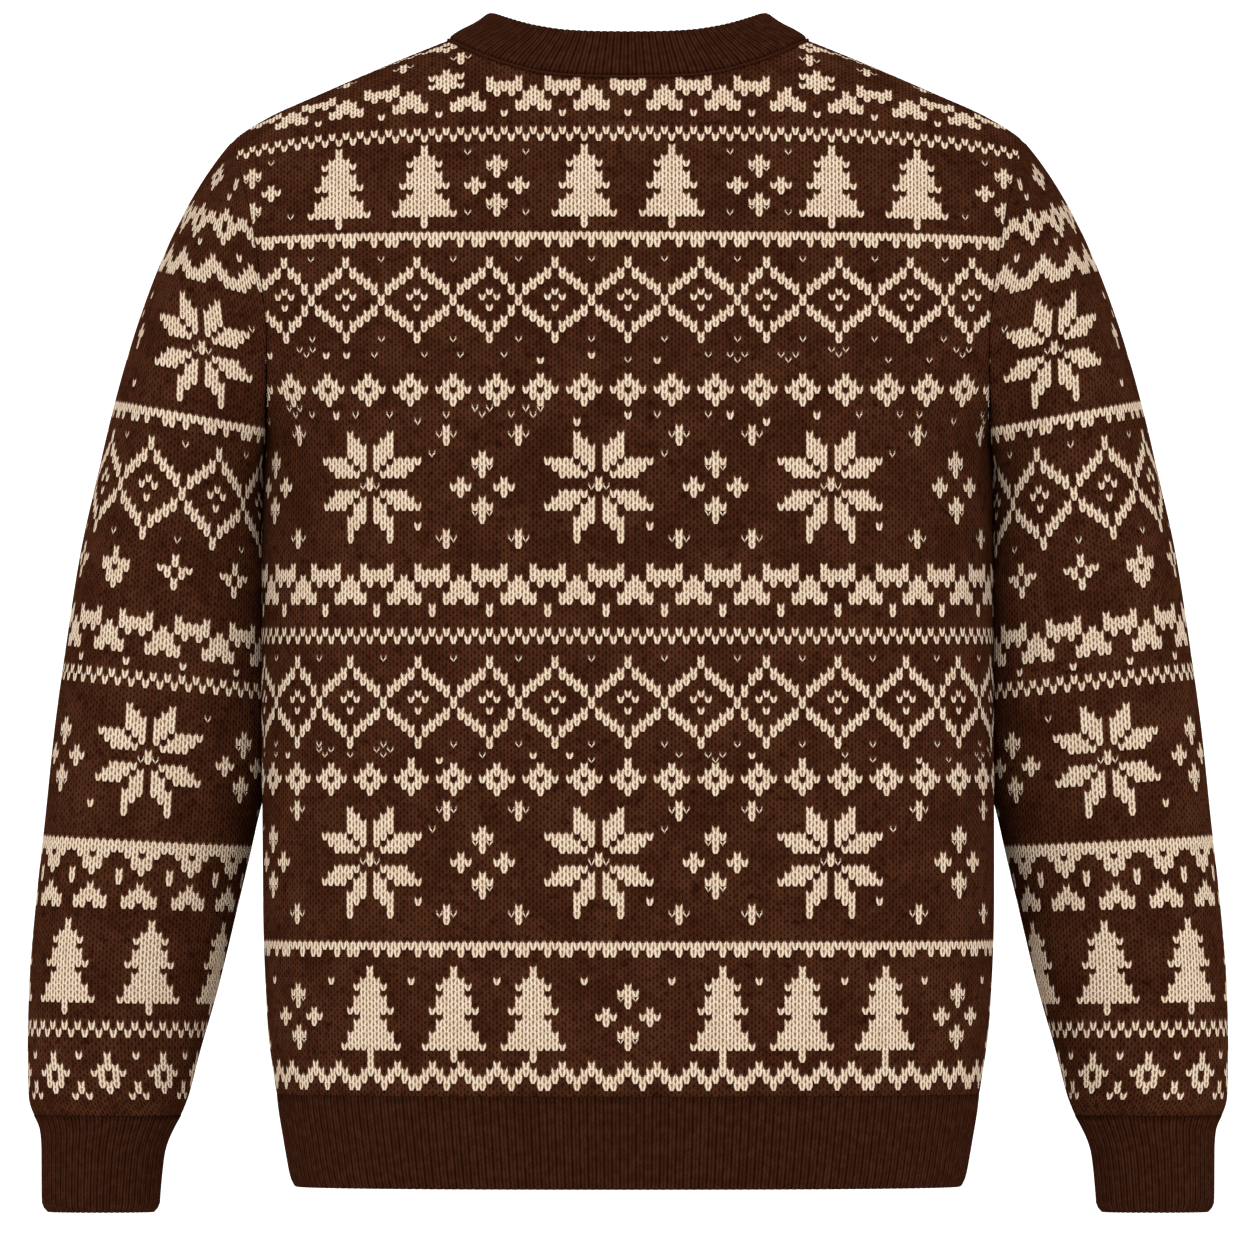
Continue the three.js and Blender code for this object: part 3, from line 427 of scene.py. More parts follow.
class BodyCloth:
    """The back or the front. a runs across the cloth from its middle line and t up it from the hem seam. Below the
    bend of the shoulders the courses are level, and above it they follow the cloth up and over."""

    def __init__(self, side):
        self.side = side
        self.rise = BEND_Z - HEM_Z
        angle = np.linspace(0, math.pi / 2, 500)
        self.zs = np.linspace(HEM_Z - 6, BEND_Z, 240)
        self.arcs = np.arange(0, 300.0, 1.0)
        xs, ys, ends, arms = [], [], [], []
        for z in self.zs:
            x, y, run = self.section(z, angle)
            xs.append(np.interp(self.arcs, run, x))
            ys.append(np.interp(self.arcs, run, y))
            ends.append(run[-1])
            arms.append(np.interp(armhole_x(z), x, run) if z > UNDERARM_Z else run[-1])
        self.xs, self.ys = np.array(xs), np.array(ys)
        self.limit_low = np.array(arms)
        x, y, run = self.section(BEND_Z, angle)
        self.bend_x, self.bend_run = x, run
        # above the bend: curves of constant x, from the bend to the shoulder line or just past the neck
        self.cols = np.arange(0, 250.0, 1.0)
        self.q = np.linspace(0, 1, 200)
        self.top_run, self.cut_run, self.cy, self.cz = [], [], [], []
        for x in self.cols:
            end = 8.0 if x < 95.0 else float(shoulder_z(x))
            z = end - (end - BEND_Z) * (1 - np.sin(np.linspace(0, math.pi / 2, 1200)))
            p = on_body(side, np.full_like(z, x), z)
            run = np.concatenate([[0], np.cumsum(np.linalg.norm(np.diff(p, axis=0), axis=1))])
            self.top_run.append(run[-1])
            stop = float(neck_z[side](x)) if x < NECK_X else end
            self.cut_run.append(np.interp(stop, z, run) if x < NECK_X else run[-1])
            self.cy.append(np.interp(self.q * run[-1], run, p[:, 1]))
            self.cz.append(np.interp(self.q * run[-1], run, z))
        self.top_run, self.cut_run = np.array(self.top_run), np.array(self.cut_run)
        self.cy, self.cz = np.array(self.cy), np.array(self.cz)
        self.half_width = float(max(ends)) + 3
        self.height = self.rise + float(self.cut_run[: int(SHOULDER_X)].max())

    def section(self, z, angle):
        n = float(roundness(z))
        x = float(half(z)) * np.sin(angle) ** (2 / n)
        y = self.side * float(depth[self.side](z)) * np.cos(angle) ** (2 / n)
        y[-1] = 0
        run = np.concatenate([[0], np.cumsum(np.hypot(np.diff(x), np.diff(y)))])
        return x, y, run

    @staticmethod
    def table(grid, i, j):
        i = np.clip(i, 0, grid.shape[0] - 1.000001)
        j = np.clip(j, 0, grid.shape[1] - 1.000001)
        i0, j0 = i.astype(int), j.astype(int)
        u, v = i - i0, j - j0
        return (
            grid[i0, j0] * (1 - u) * (1 - v) + grid[i0 + 1, j0] * u * (1 - v)
            + grid[i0, j0 + 1] * (1 - u) * v + grid[i0 + 1, j0 + 1] * u * v
        )

    def flat(self, a, t):
        """A stitch's place on the cut. The courses droop a little towards the shoulders' ends."""
        a, t = np.broadcast_arrays(np.asarray(a, float), np.asarray(t, float))
        x = np.interp(np.abs(a), self.bend_run, self.bend_x)
        return a, t - DROOP(t - self.rise) * (x / 230.0) ** 4

    def place(self, a, t):
        a, t = self.flat(a, t)
        sign, b = np.where(a < 0, -1.0, 1.0), np.abs(a)
        z = HEM_Z + np.minimum(t, self.rise)
        i = (z - self.zs[0]) / (self.zs[1] - self.zs[0])
        x_low, y_low = self.table(self.xs, i, b), self.table(self.ys, i, b)
        x_up = np.interp(b, self.bend_run, self.bend_x)
        top = np.interp(x_up, self.cols, self.top_run)
        q = np.clip((t - self.rise) / top, 0, 1) * (len(self.q) - 1)
        y_up, z_up = self.table(self.cy, x_up, q), self.table(self.cz, x_up, q)
        over = t > self.rise
        return np.stack([sign * np.where(over, x_up, x_low), np.where(over, y_up, y_low), np.where(over, z_up, z)], -1)

    def out(self, a, t):
        return out_of_body(self.side, self.place(a, t))

    def inside(self, a, t):
        """How far a place lies inside the cut, in mm: negative is off the panel."""
        p = self.place(a, t)
        z = p[..., 2]
        low = np.interp(z, self.zs, self.limit_low)
        high = np.interp(armhole_x(z), self.bend_x, self.bend_run)
        edge = np.where(z <= BEND_Z, low, high) - np.abs(a)
        x = np.interp(np.abs(a), self.bend_run, self.bend_x)
        top = self.rise + np.interp(x, self.cols, self.cut_run) - self.flat(a, t)[1]
        return np.minimum(edge - SEAM / 2, top - np.where(x < NECK_X, SEAM / 2, 0.002))

    @staticmethod
    def back(a):
        return np.full(np.shape(a), True)

    def groove(self, p):
        """How deep the seam lies at a place near it: more round the armhole than down the side."""
        return np.where(p[..., 2] > UNDERARM_Z, 0.5, 0.3)

    def column(self, x, t=None):
        """The stitch column at a distance across, at the bend or lower down."""
        if t is None or t > self.rise:
            a = np.interp(abs(x), self.bend_x, self.bend_run)
        else:
            i = (HEM_Z + t - self.zs[0]) / (self.zs[1] - self.zs[0])
            row = self.xs[int(round(i))]
            a = np.interp(abs(x), row, self.arcs)
        return int(round(math.copysign(a, x) / WALE))


def section_rings(rows, shares, levels):
    """Rings of sleeve sections at fractional row numbers. shares run from the outermost point round each half."""
    n = np.arange(len(rows))
    cols = [track(n, rows[:, k])(levels) for k in range(7)]
    rings = []
    angle = np.linspace(0, math.pi, 400)
    for out_x, out_z, in_x, in_z, mid_y, deep, rnd in zip(*cols):
        out_p, in_p = np.array([out_x, mid_y, out_z]), np.array([in_x, mid_y, in_z])
        middle, reach = (out_p + in_p) / 2, (out_p - in_p) / 2
        c, d = np.cos(angle), np.sin(angle)
        along = np.sign(c) * np.abs(c) ** (2 / rnd)
        aside = deep * np.abs(d) ** (2 / rnd)
        aside[0] = aside[-1] = 0
        line = middle + along[:, None] * reach
        front = line + aside[:, None] * np.array([0, 1.0, 0])
        back = line - aside[:, None] * np.array([0, 1.0, 0])
        rings.append(np.concatenate([spaced(front, shares)[:-1], spaced(back, shares)[::-1][:-1]]))
    return np.array(rings)


class SleeveCloth:
    """A sleeve on the right side. a runs round from the outermost line, forwards positive, and t up from the cuff."""

    def __init__(self):
        n = 96
        shares = np.linspace(0, 1, n + 1)
        u = np.linspace(0, 1, 400)
        z = UNDERARM_Z + (SHOULDER_Z - UNDERARM_Z) * (1 - np.cos(math.pi * u)) / 2
        halves = {}
        for side in (-1, 1):
            line = on_body(side, armhole_x(z), z)
            line[0] = (218.0, 0, UNDERARM_Z)
            line[-1] = (SHOULDER_X, 0, SHOULDER_Z)
            halves[side] = spaced(line[::-1], shares)
        seam = np.concatenate([halves[1][:-1], halves[-1][::-1][:-1]])
        face = unit(np.array([SHOULDER_Z - UNDERARM_Z, 0, -(SHOULDER_X - 218.0)]))
        along = unit(np.roll(seam, -1, 0) - np.roll(seam, 1, 0))
        out = unit(np.cross(np.broadcast_to(face, along.shape), along))
        out *= np.sign(np.sum(out * (seam - np.array([222, 0, -145.0])), axis=1, keepdims=True))
        into = unit(np.cross(along, out))
        into *= np.where(into @ face < 0, -1.0, 1.0)[:, None]
        first, second = section_rings(SLEEVE, shares, [0.0, 1.0])
        turn = np.arange(2 * n) / (2 * n)
        low = (1 - np.cos(2 * math.pi * turn)) / 2

        def pick(t):
            return np.where(
                low < 0.5, t[0] + (t[1] - t[0]) * smooth(low * 2), t[1] + (t[2] - t[1]) * smooth(low * 2 - 1)
            )[:, None]

        down = unit(second - first)
        start = CAP_SLOPE + (into - CAP_SLOPE) * smooth(low * 3)[:, None]
        start = start + (down - start) * smooth((low - 0.6) / 0.4)[:, None]
        start = unit(start)
        b = seam + start * pick(CAP_REACH)
        c = first - down * pick(CAP_RISE)
        rings = []
        for v in np.linspace(0, 1, 70)[:-1]:
            rings.append((1 - v) ** 3 * seam + 3 * v * (1 - v) ** 2 * b + 3 * v * v * (1 - v) * c + v**3 * first)
        rings = np.concatenate([np.array(rings), section_rings(SLEEVE, shares, np.linspace(0, 9, 260))])
        # clear of the body's side
        p = rings[1:]
        zz = p[..., 2]
        body_x = np.zeros(zz.shape)
        for side in (-1, 1):
            rnd = roundness(zz)
            share = np.clip(np.abs(p[..., 1]) / depth[side](zz), 0, 1)
            x = half(zz) * (1 - share**rnd) ** (1 / rnd)
            body_x = np.where((p[..., 1] < 0) == (side < 0), x, body_x)
        near = (zz <= UNDERARM_Z) & (zz >= HEM_Z)
        p[..., 0] = np.where(near, np.maximum(p[..., 0], body_x + CLEAR), p[..., 0])
        # the course that each point lies on
        mid = np.array([k[0] for k in COURSES])
        mid_x = track(mid, [k[1] for k in COURSES])
        tilt = track(mid, [k[2] for k in COURSES])
        levels = np.linspace(-660, -30, 900)
        lx, lt = mid_x(levels), np.tan(np.radians(tilt(levels)))
        flat = rings.reshape(-1, 3)
        level = np.empty(len(flat))
        for k in range(0, len(flat), 8000):
            part = flat[k : k + 8000]
            gap = part[:, 2:3] - (levels + lt * (part[:, 0:1] - lx))
            i = np.clip((gap > 0).sum(axis=1), 1, len(levels) - 1)
            rows = np.arange(len(part))
            g0, g1 = gap[rows, i - 1], gap[rows, i]
            level[k : k + 8000] = levels[i - 1] + (levels[1] - levels[0]) * np.clip(g0 / (g0 - g1), 0, 1)
        level = level.reshape(rings.shape[:2])
        self.seam_level = level[0]
        self.base, self.top = -643.0, float(level[0].max())
        self.levels = np.arange(self.base - 4, self.top + 6, 1.6)
        # each line down the sleeve, read at every level
        lines = np.empty((len(self.levels), 2 * n, 3))
        for i in range(2 * n):
            lv, pts = level[::-1, i], rings[::-1, i]
            keep = np.concatenate([[True], lv[1:] > np.maximum.accumulate(lv)[:-1] + 1e-6])
            lv, pts = lv[keep], pts[keep]
            for k in range(3):
                lines[:, i, k] = np.interp(self.levels, lv, pts[:, k])
            ahead = (pts[-1] - pts[-4]) / (lv[-1] - lv[-4])
            past = np.maximum(self.levels - lv[-1], 0)
            lines[:, i] += past[:, None] * ahead
            behind = (pts[2] - pts[0]) / (lv[2] - lv[0])
            short = np.minimum(self.levels - lv[0], 0)
            lines[:, i] += short[:, None] * behind
        # distances round each course, forwards and backwards from the outermost line
        self.reach = np.arange(-220.0, 221.0, 2.0)
        grid = np.empty((len(self.levels), len(self.reach), 3))
        self.limit = {1: [], -1: []}
        for k, lv in enumerate(self.levels):
            for side in (1, -1):
                order = np.arange(0, n + 1) if side == 1 else np.concatenate([[0], np.arange(2 * n - 1, n - 1, -1)])
                line, seam_lv = lines[k, order], self.seam_level[order]
                run = np.concatenate([[0], np.cumsum(np.linalg.norm(np.diff(line, axis=0), axis=1))])
                if lv <= seam_lv.min():
                    end = run[-1]
                elif lv >= seam_lv[0]:
                    end = -(lv - seam_lv[0])
                else:
                    j = int(np.argmax(seam_lv < lv))
                    f = (seam_lv[j - 1] - lv) / (seam_lv[j - 1] - seam_lv[j])
                    end = run[j - 1] + f * (run[j] - run[j - 1])
                self.limit[side].append(end)
                stop = max(end, 6.0) + 3.0
                want = np.abs(self.reach[self.reach * side >= 0])
                inner = np.minimum(want, min(stop, run[-1]))
                pts = np.stack([np.interp(inner, run, line[:, c]) for c in range(3)], axis=-1)
                back = max(min(stop, run[-1]) - 2.0, 0)
                last = np.stack([np.interp([back, back + 2.0], run, line[:, c]) for c in range(3)], axis=-1)
                pts += (want - inner)[:, None] * (last[1] - last[0]) / 2.0
                grid[k, self.reach * side >= 0] = pts
        self.limit = {s: np.array(v) for s, v in self.limit.items()}
        self.grid = grid
        da, dl = np.gradient(grid, axis=1), np.gradient(grid, axis=0)
        self.normals = unit(np.cross(da, dl))
        self.half_width = float(max(self.limit[1].max(), self.limit[-1].max())) + 3
        # the height of each level along the cloth, on the middle of the back face
        self.height = self.top - self.base

    def look(self, table, a, t):
        a, t = np.broadcast_arrays(np.asarray(a, float), np.asarray(t, float))
        i = np.clip((t + self.base - self.levels[0]) / 1.6, 0, len(self.levels) - 1.000001)
        j = np.clip((a - self.reach[0]) / 2.0, 0, len(self.reach) - 1.000001)
        i0, j0 = i.astype(int), j.astype(int)
        u, v = (i - i0)[..., None], (j - j0)[..., None]
        return (
            table[i0, j0] * (1 - u) * (1 - v) + table[i0 + 1, j0] * u * (1 - v)
            + table[i0, j0 + 1] * (1 - u) * v + table[i0 + 1, j0 + 1] * u * v
        )

    def flat(self, a, t):
        """A stitch's place on the cut. Towards the top of the cap the wales close up and turn forwards."""
        a, t = np.broadcast_arrays(np.asarray(a, float), np.asarray(t, float))
        return a * NARROW(t + self.base) + SHIFT(t + self.base), t

    def place(self, a, t):
        return self.look(self.grid, *self.flat(a, t))

    def out(self, a, t):
        return unit(self.look(self.normals, *self.flat(a, t)))

    @staticmethod
    def back(a):
        return a < 40.0

    def groove(self, p):
        return np.where(p[..., 2] > UNDERARM_Z, 0.5, 0.3)

    def inside(self, a, t):
        a, t = self.flat(a, t)
        lv = t + self.base
        front = np.interp(lv, self.levels, self.limit[1])
        back = np.interp(lv, self.levels, self.limit[-1])
        return np.where(a >= 0, front, back) - np.abs(a) - SEAM / 2

    def column(self, x, t):
        """The stitch column on the back face at a distance out, at a height."""
        a = np.arange(-200.0, 0.5, 0.5)
        p = self.place(a, np.full_like(a, t))
        ok = self.inside(a, np.full_like(a, t)) > 0
        a, xs = a[ok], p[ok, 0]
        far = int(np.argmax(xs))
        return int(round(float(np.interp(x, xs[: far + 1], a[: far + 1])) / WALE))


# ---- charts -------------------------------------------------------------------------------------------------------
# Traditional motifs. Rows run from the top down, X is the light yarn and o a faint light stitch.
TREE = """
....X....
....X....
...XXX...
..XXXXX..
...XXX...
..XXXXX..
..XXXXX..
.XXXXXXX.
...XXX...
..XXXXX..
..XXXXX..
.XXXXXXX.
.XXXXXXX.
XXXXXXXXX
....X....
....X....
"""
TREE_SHORT = """
....X....
....X....
...XXX...
..XXXXX..
...XXX...
..XXXXX..
..XXXXX..
.XXXXXXX.
...XXX...
..XXXXX..
.XXXXXXX.
.XXXXXXX.
XXXXXXXXX
....X....
....X....
"""
STAR = """
....X.....X....
....XX...XX....
....XXX.XXX....
....XXX.XXX....
XXXX.XX.XX.XXXX
.XXXX.X.X.XXXX.
..XXXX...XXXX..
.......X.......
......oXo......
..XXXX...XXXX..
.XXXX.X.X.XXXX.
XXXX.XX.XX.XXXX
.....XX.XX.....
....XXX.XXX....
....XX...XX....
....X.....X....
....X.....X....
"""
QUAD = """
....X....
...XXX...
...oXo...
....X....
.X.....X.
XXX...XXX
.X.....X.
....X....
...XXX...
...oXo...
....X....
"""
PLUS = """
.X.
oXo
.X.
"""
SMALL = """
.X.
XXX
.X.
.X.
"""
SPARK = """
..X..
..X..
XX.XX
.X.X.
..X..
..X..
"""
FLOWER = """
..X..
.XXX.
XX.XX
.XXX.
..X..
"""
RING = """
..X..
..X..
.XXX.
XX.XX
.X.X.
.XXX.
..X..
"""
CROWN = """
X...X...
XXXXX...
XXXXX.X.
.X.X.XXX
.....XXX
X...XXXX
X...XX.X
"""
HIGH_CROWN = """
X...X
XXXXX
XXXXX
.X.X.
"""
LOW_CROWN = """
..X..
.XXX.
.XXX.
XXXXX
XX.XX
"""
CHEVRON = """
X...X....
XX.XXX..X
.XXX.XXXX
..X...XX.
"""
ZIGZAG = """
X.
.X
"""
STRIPE = """
XXXXXX
XX..X.
"""
ARCH = """
..X...
.XXX..
XX.XX.
X...XX
.....X
"""
TRIANGLE = """
XXXXXXX
XXXXXXX
.XX.XX.
..XXX..
..XXX..
...X...
"""
BUMP = """
...X...
..XXX..
.XXXXX.
.XX.XX.
"""
TRIO = """
.X.
.X.
X.X
"""
WAVE = """
...X...
..XXX..
.XXXXX.
XXX.XXX
XX...XX
"""
LINKS = """
..X....
.XXX.XX
XX.XXXX
XX.XX..
.XXX...
..X....
"""
BLOOM = """
..X..
XXXXX
.XXX.
XXXXX
..X..
"""
DOT = "X"
DOT2 = "X\nX"
FAINT = "o"
MARK = """
o.o
.o.
"""


BEADS = {5: (14, 12, 11, 10, 9, 7), 4: (14, 12, 11, 9, 7)}


def diamond():
    """Ten columns by sixteen rows: a lattice of beads two courses tall, with four stitches in its middle."""
    rows = [["."] * 10 for _ in range(16)]
    for k, r in enumerate(BEADS[5]):
        for r2 in (r, r + 1, 15 - r, 14 - r):
            rows[r2][(5 + k) % 10] = rows[r2][(5 - k) % 10] = "X"
    for r, c in ((9, 5), (8, 4), (8, 6), (6, 5)):
        rows[r][c] = "X"
    for r in (0, 15):
        rows[r][0] = "o"
    return "\n".join("".join(row) for row in rows[::-1])


DIAMOND = diamond()


class Chart:
    def __init__(self, rows, columns):
        self.light = np.zeros((rows, 2 * columns + 1))
        self.zero = columns

    def put(self, motif, row, column):
        """Lays a motif with its lowest row at row and its middle at column."""
        lines = motif.split()[::-1]
        wide = max(len(line) for line in lines)
        for j, line in enumerate(lines):
            for i, mark in enumerate(line):
                r, c = row + j, self.zero + column - wide // 2 + i
                if mark != "." and 0 <= r < self.light.shape[0] and 0 <= c < self.light.shape[1]:
                    self.light[r, c] = 1.0 if mark == "X" else 0.4

    def repeat(self, motif, row, column, period):
        low = -self.zero - period
        first = column - period * math.ceil((column - low) / period)
        for c in range(first, self.zero + period, period):
            self.put(motif, row, c)

    def each(self, motif, row, columns):
        for c in columns:
            self.put(motif, row, c)

    def lattice(self, row, middles):
        """Diamonds of sixteen courses with their middles at the given columns, nine or ten stitches apart."""
        for s in (-1, 1):
            for here, there in zip(middles, middles[1:]):
                for start, on, beads in ((here, 1, BEADS[5]), (there, -1, BEADS[there - here - 5])):
                    for k, r in enumerate(beads):
                        for r2 in (r, r + 1, 15 - r, 14 - r):
                            self.put(DOT, row + r2, s * (start + on * k))
                for r in (0, 15):
                    self.put(FAINT, row + r, s * (here + 5))
            for c in middles:
                for r, d in ((9, 0), (8, -1), (8, 1), (6, 0)):
                    self.put(DOT, row + r, s * c + d)

    def scatter(self, row, rows, seed, share=0.055):
        """Odd single stitches, as uneven as small filler motifs look from a distance."""
        rng = np.random.default_rng(seed)
        c = -self.zero + 1
        while c < self.zero:
            c += int(rng.integers(3, 8))
            self.put((FAINT, FAINT, MARK, DOT)[int(rng.integers(0, 4))], row + int(rng.integers(0, rows)), c)


def spot(cloth, edges, x, z):
    """The course and the stitch column at a place on the back, as seen from behind."""
    a = np.arange(-cloth.half_width, cloth.half_width, 1.0)
    t = np.arange(edges[0], edges[-1], 1.0)
    A, T = np.meshgrid(a, t)
    p = cloth.place(A, T)
    far = np.hypot(p[..., 0] - x, p[..., 2] - z) + np.where((cloth.inside(A, T) > 0) & (cloth.back(A)), 0, 1e3)
    j, i = np.unravel_index(int(np.argmin(far)), far.shape)
    return int(np.searchsorted(edges, T[j, i])) - 1, int(round(A[j, i] / WALE))


# ---- making meshes ------------------------------------------------------------------------------------------------
def relief(a):
    """The wales stand up as two ridges to a stitch, with a deep furrow between wales and a shallow one inside."""
    u = (a / WALE + 0.5) % 1.0
    return -0.16 * np.cos(math.pi * u) ** 8 - 0.06 * np.cos(math.pi * (u - 0.5)) ** 8


def crossing(inside, a0, t0, a1, t1):
    """Where each edge from an inner place to an outer one leaves the panel."""
    low, high = np.zeros(len(a0)), np.ones(len(a0))
    for _ in range(18):
        m = (low + high) / 2
        good = inside(a0 + (a1 - a0) * m, t0 + (t1 - t0) * m) > 0
        low, high = np.where(good, m, low), np.where(good, high, m)
    return a0 + (a1 - a0) * low, t0 + (t1 - t0) * low


def within(triangles, rim, places, cloth):
    """The triangles inside the rim: those reached from one well inside without crossing it."""
    beside = {}
    for k, f in enumerate(triangles):
        for x, y in zip(f, f[1:] + f[:1]):
            beside.setdefault(frozenset((x, y)), []).append(k)
    middles = np.array([places[f].mean(axis=0) for f in triangles])
    start = int(np.argmax(cloth.inside(middles[:, 0], middles[:, 1])))
    seen, queue = {start}, [start]
    while queue:
        f = triangles[queue.pop()]
        for x, y in zip(f, f[1:] + f[:1]):
            edge = frozenset((x, y))
            if edge not in rim:
                for k in beside[edge]:
                    if k not in seen:
                        seen.add(k)
                        queue.append(k)
    return [triangles[k] for k in sorted(seen)]


def panel(name, cloth, edges, light, flip, mirror, thick, creases, groove_low):
    """A stitched panel: its face with one cell for each quarter of a stitch, its rim and its wrong side, closed."""
    wales = int(math.ceil(cloth.half_width / WALE)) + 1
    index = np.arange(-wales * FINE, wales * FINE + 1)
    A = (index / FINE + 0.5) * WALE  # so that stitch k lies from (k - 1/2) to (k + 1/2) wales
    T = np.asarray(edges, float)
    AA, TT = np.meshgrid(A, T)
    ins = cloth.inside(AA, TT) > 0
    nt, na = ins.shape
    vid = np.full(ins.shape, -1)
    vid[ins] = np.arange(ins.sum())
    par = [np.stack([AA[ins], TT[ins]], axis=1)]
    count = int(ins.sum())
    # crossings on edges across and up
    across = ins[:, :-1] != ins[:, 1:]
    j, i = np.nonzero(across)
    first = ins[j, i]
    ia, ib = np.where(first, i, i + 1), np.where(first, i + 1, i)
    ca, ct = crossing(cloth.inside, A[ia], T[j], A[ib], T[j])
    hid = np.full(across.shape, -1)
    hid[j, i] = count + np.arange(len(j))
    par.append(np.stack([ca, ct], axis=1))
    count += len(j)
    upward = ins[:-1] != ins[1:]
    j, i = np.nonzero(upward)
    first = ins[j, i]
    ja, jb = np.where(first, j, j + 1), np.where(first, j + 1, j)
    ca, ct = crossing(cloth.inside, A[i], T[ja], A[i], T[jb])
    wid = np.full(upward.shape, -1)
    wid[j, i] = count + np.arange(len(j))
    par.append(np.stack([ca, ct], axis=1))
    count += len(j)
    par = np.concatenate(par)
    full = ins[:-1, :-1] & ins[:-1, 1:] & ins[1:, 1:] & ins[1:, :-1]
    some = (ins[:-1, :-1] | ins[:-1, 1:] | ins[1:, 1:] | ins[1:, :-1]) & ~full
    j, i = np.nonzero(full)
    quads = np.stack([vid[j, i], vid[j, i + 1], vid[j + 1, i + 1], vid[j + 1, i]], axis=1)
    cells = [(int(a), int(b)) for a, b in zip(j, i)]
    faces = quads.tolist()
    for j, i in zip(*np.nonzero(some)):
        ring = [
            (ins[j, i], vid[j, i], hid[j, i]), (ins[j, i + 1], vid[j, i + 1], wid[j, i + 1]),
            (ins[j + 1, i + 1], vid[j + 1, i + 1], hid[j + 1, i]), (ins[j + 1, i], vid[j + 1, i], wid[j, i]),
        ]
        loop = []
        for inner, corner, cut in ring:
            if inner:
                loop.append(int(corner))
            if cut >= 0:
                loop.append(int(cut))
        if len(loop) > 2:
            faces.append(loop)
            cells.append((int(j), int(i)))
    cells = np.array(cells)
    # face attributes and in-stitch places
    wale = np.floor((index[cells[:, 1]] + FINE / 2 * 0) / FINE).astype(int) + 1
    row = cells[:, 0]
    zero = light.shape[1] // 2
    cols = np.clip(wale + zero, 0, light.shape[1] - 1)
    own = light[np.clip(row, 0, light.shape[0] - 1), cols]
    below = np.where(row > 0, light[np.clip(row - 1, 0, light.shape[0] - 1), cols], 0.0)
    rng = np.random.default_rng(len(faces))
    tones = rng.random(light.shape)
    tone = tones[np.clip(row, 0, light.shape[0] - 1), cols]
    # the boundary, as directed edges of the faces
    sizes = np.array([len(f) for f in faces])
    flatv = np.fromiter((v for f in faces for v in f), int)
    starts = np.concatenate([[0], np.cumsum(sizes)[:-1]])
    nxt = np.arange(len(flatv)) + 1
    nxt[starts + sizes - 1] = starts
    a, b = flatv, flatv[nxt]
    key, back = a * (count + 1) + b, b * (count + 1) + a
    lone = ~np.isin(key, back)
    rim = np.stack([a[lone], b[lone]], axis=1)
    loop_ids = np.unique(rim)
    # outer face
    pa, pt = par[:, 0], par[:, 1]
    P, N = cloth.place(pa, pt), cloth.out(pa, pt)
    edge = np.clip(cloth.inside(pa, pt), 0, None)
    sunk = -cloth.groove(P) * np.exp(-((edge / 1.6) ** 2)) - 0.12 * np.exp(-((edge / 6.0) ** 2))
    if groove_low:
        sunk = np.minimum(sunk, -0.25 * np.exp(-(((pt - T[0]) / 1.5) ** 2)))
    soft = creases(pa, pt, P)
    outer = P + N * (relief(pa) + 0.15 + sunk + soft)[:, None]
    # wrong side
    ring_of = {int(v): k for k, v in enumerate(loop_ids)}
    step = 11.0
    ga = np.arange(-cloth.half_width, cloth.half_width, step)
    gt = np.arange(T[0] + step / 2, T[-1], step)
    GA, GT = np.meshgrid(ga, gt)
    keep = cloth.inside(GA, GT) > 5.0
    inner_par = np.concatenate([par[loop_ids], np.stack([GA[keep], GT[keep]], axis=1)])
    points = [Vector((float(x), float(y))) for x, y in inner_par]
    constraints = [(ring_of[int(x)], ring_of[int(y)]) for x, y in rim]
    cv, _, cf, ov, _, _ = delaunay_2d_cdt(points, constraints, [], 1, 1e-7, True)
    source = [o[0] if len(o) else -1 for o in ov]
    for k in [k for k, s in enumerate(source) if s < 0]:
        source[k] = len(inner_par)
        inner_par = np.concatenate([inner_par, [[cv[k].x, cv[k].y]]])
    cf = within([[source[v] for v in f] for f in cf], {frozenset(c) for c in constraints}, inner_par, cloth)
    qa, qt = inner_par[:, 0], inner_par[:, 1]
    Q, M = cloth.place(qa, qt), cloth.out(qa, qt)
    shallow = np.zeros(len(qa))
    shallow[: len(loop_ids)] = -0.9
    inner = Q - M * (thick - creases(qa, qt, Q))[:, None] + M * 0
    verts = np.concatenate([outer, inner])
    if mirror:
        verts[:, 0] *= -1
    base = len(outer)
    rim_faces = [[int(b), int(a), base + ring_of[int(a)], base + ring_of[int(b)]] for a, b in rim]
    inner_faces = [[base + v for v in f][::-1] for f in cf]
    every = faces + rim_faces + inner_faces
    # uv corners
    u = np.empty(len(flatv))
    face_of = np.repeat(np.arange(len(faces)), sizes)
    left = (wale[face_of] - 0.5) * WALE
    u = (pa[flatv] - left) / WALE
    low, up = T[row[face_of]], T[row[face_of] + 1]
    v = (pt[flatv] - low) / (up - low)
    stitch = [np.stack([u, v], axis=1)]
    allpar = np.concatenate([par, inner_par])
    rest = np.fromiter((x for f in rim_faces + inner_faces for x in f), int)
    mean_row = float(np.mean(np.diff(T)))
    stitch.append(np.stack([allpar[rest, 0] / WALE, allpar[rest, 1] / mean_row], axis=1))
    span_a, span_t = 2 * cloth.half_width, T[-1] - T[0]
    scale = 0.985 / max(span_t, span_a * 1.25)

    def laid(p, x0, s):
        return np.stack([x0 + (p[:, 0] + cloth.half_width) * s, 0.005 + (p[:, 1] - T[0]) * s], axis=1)

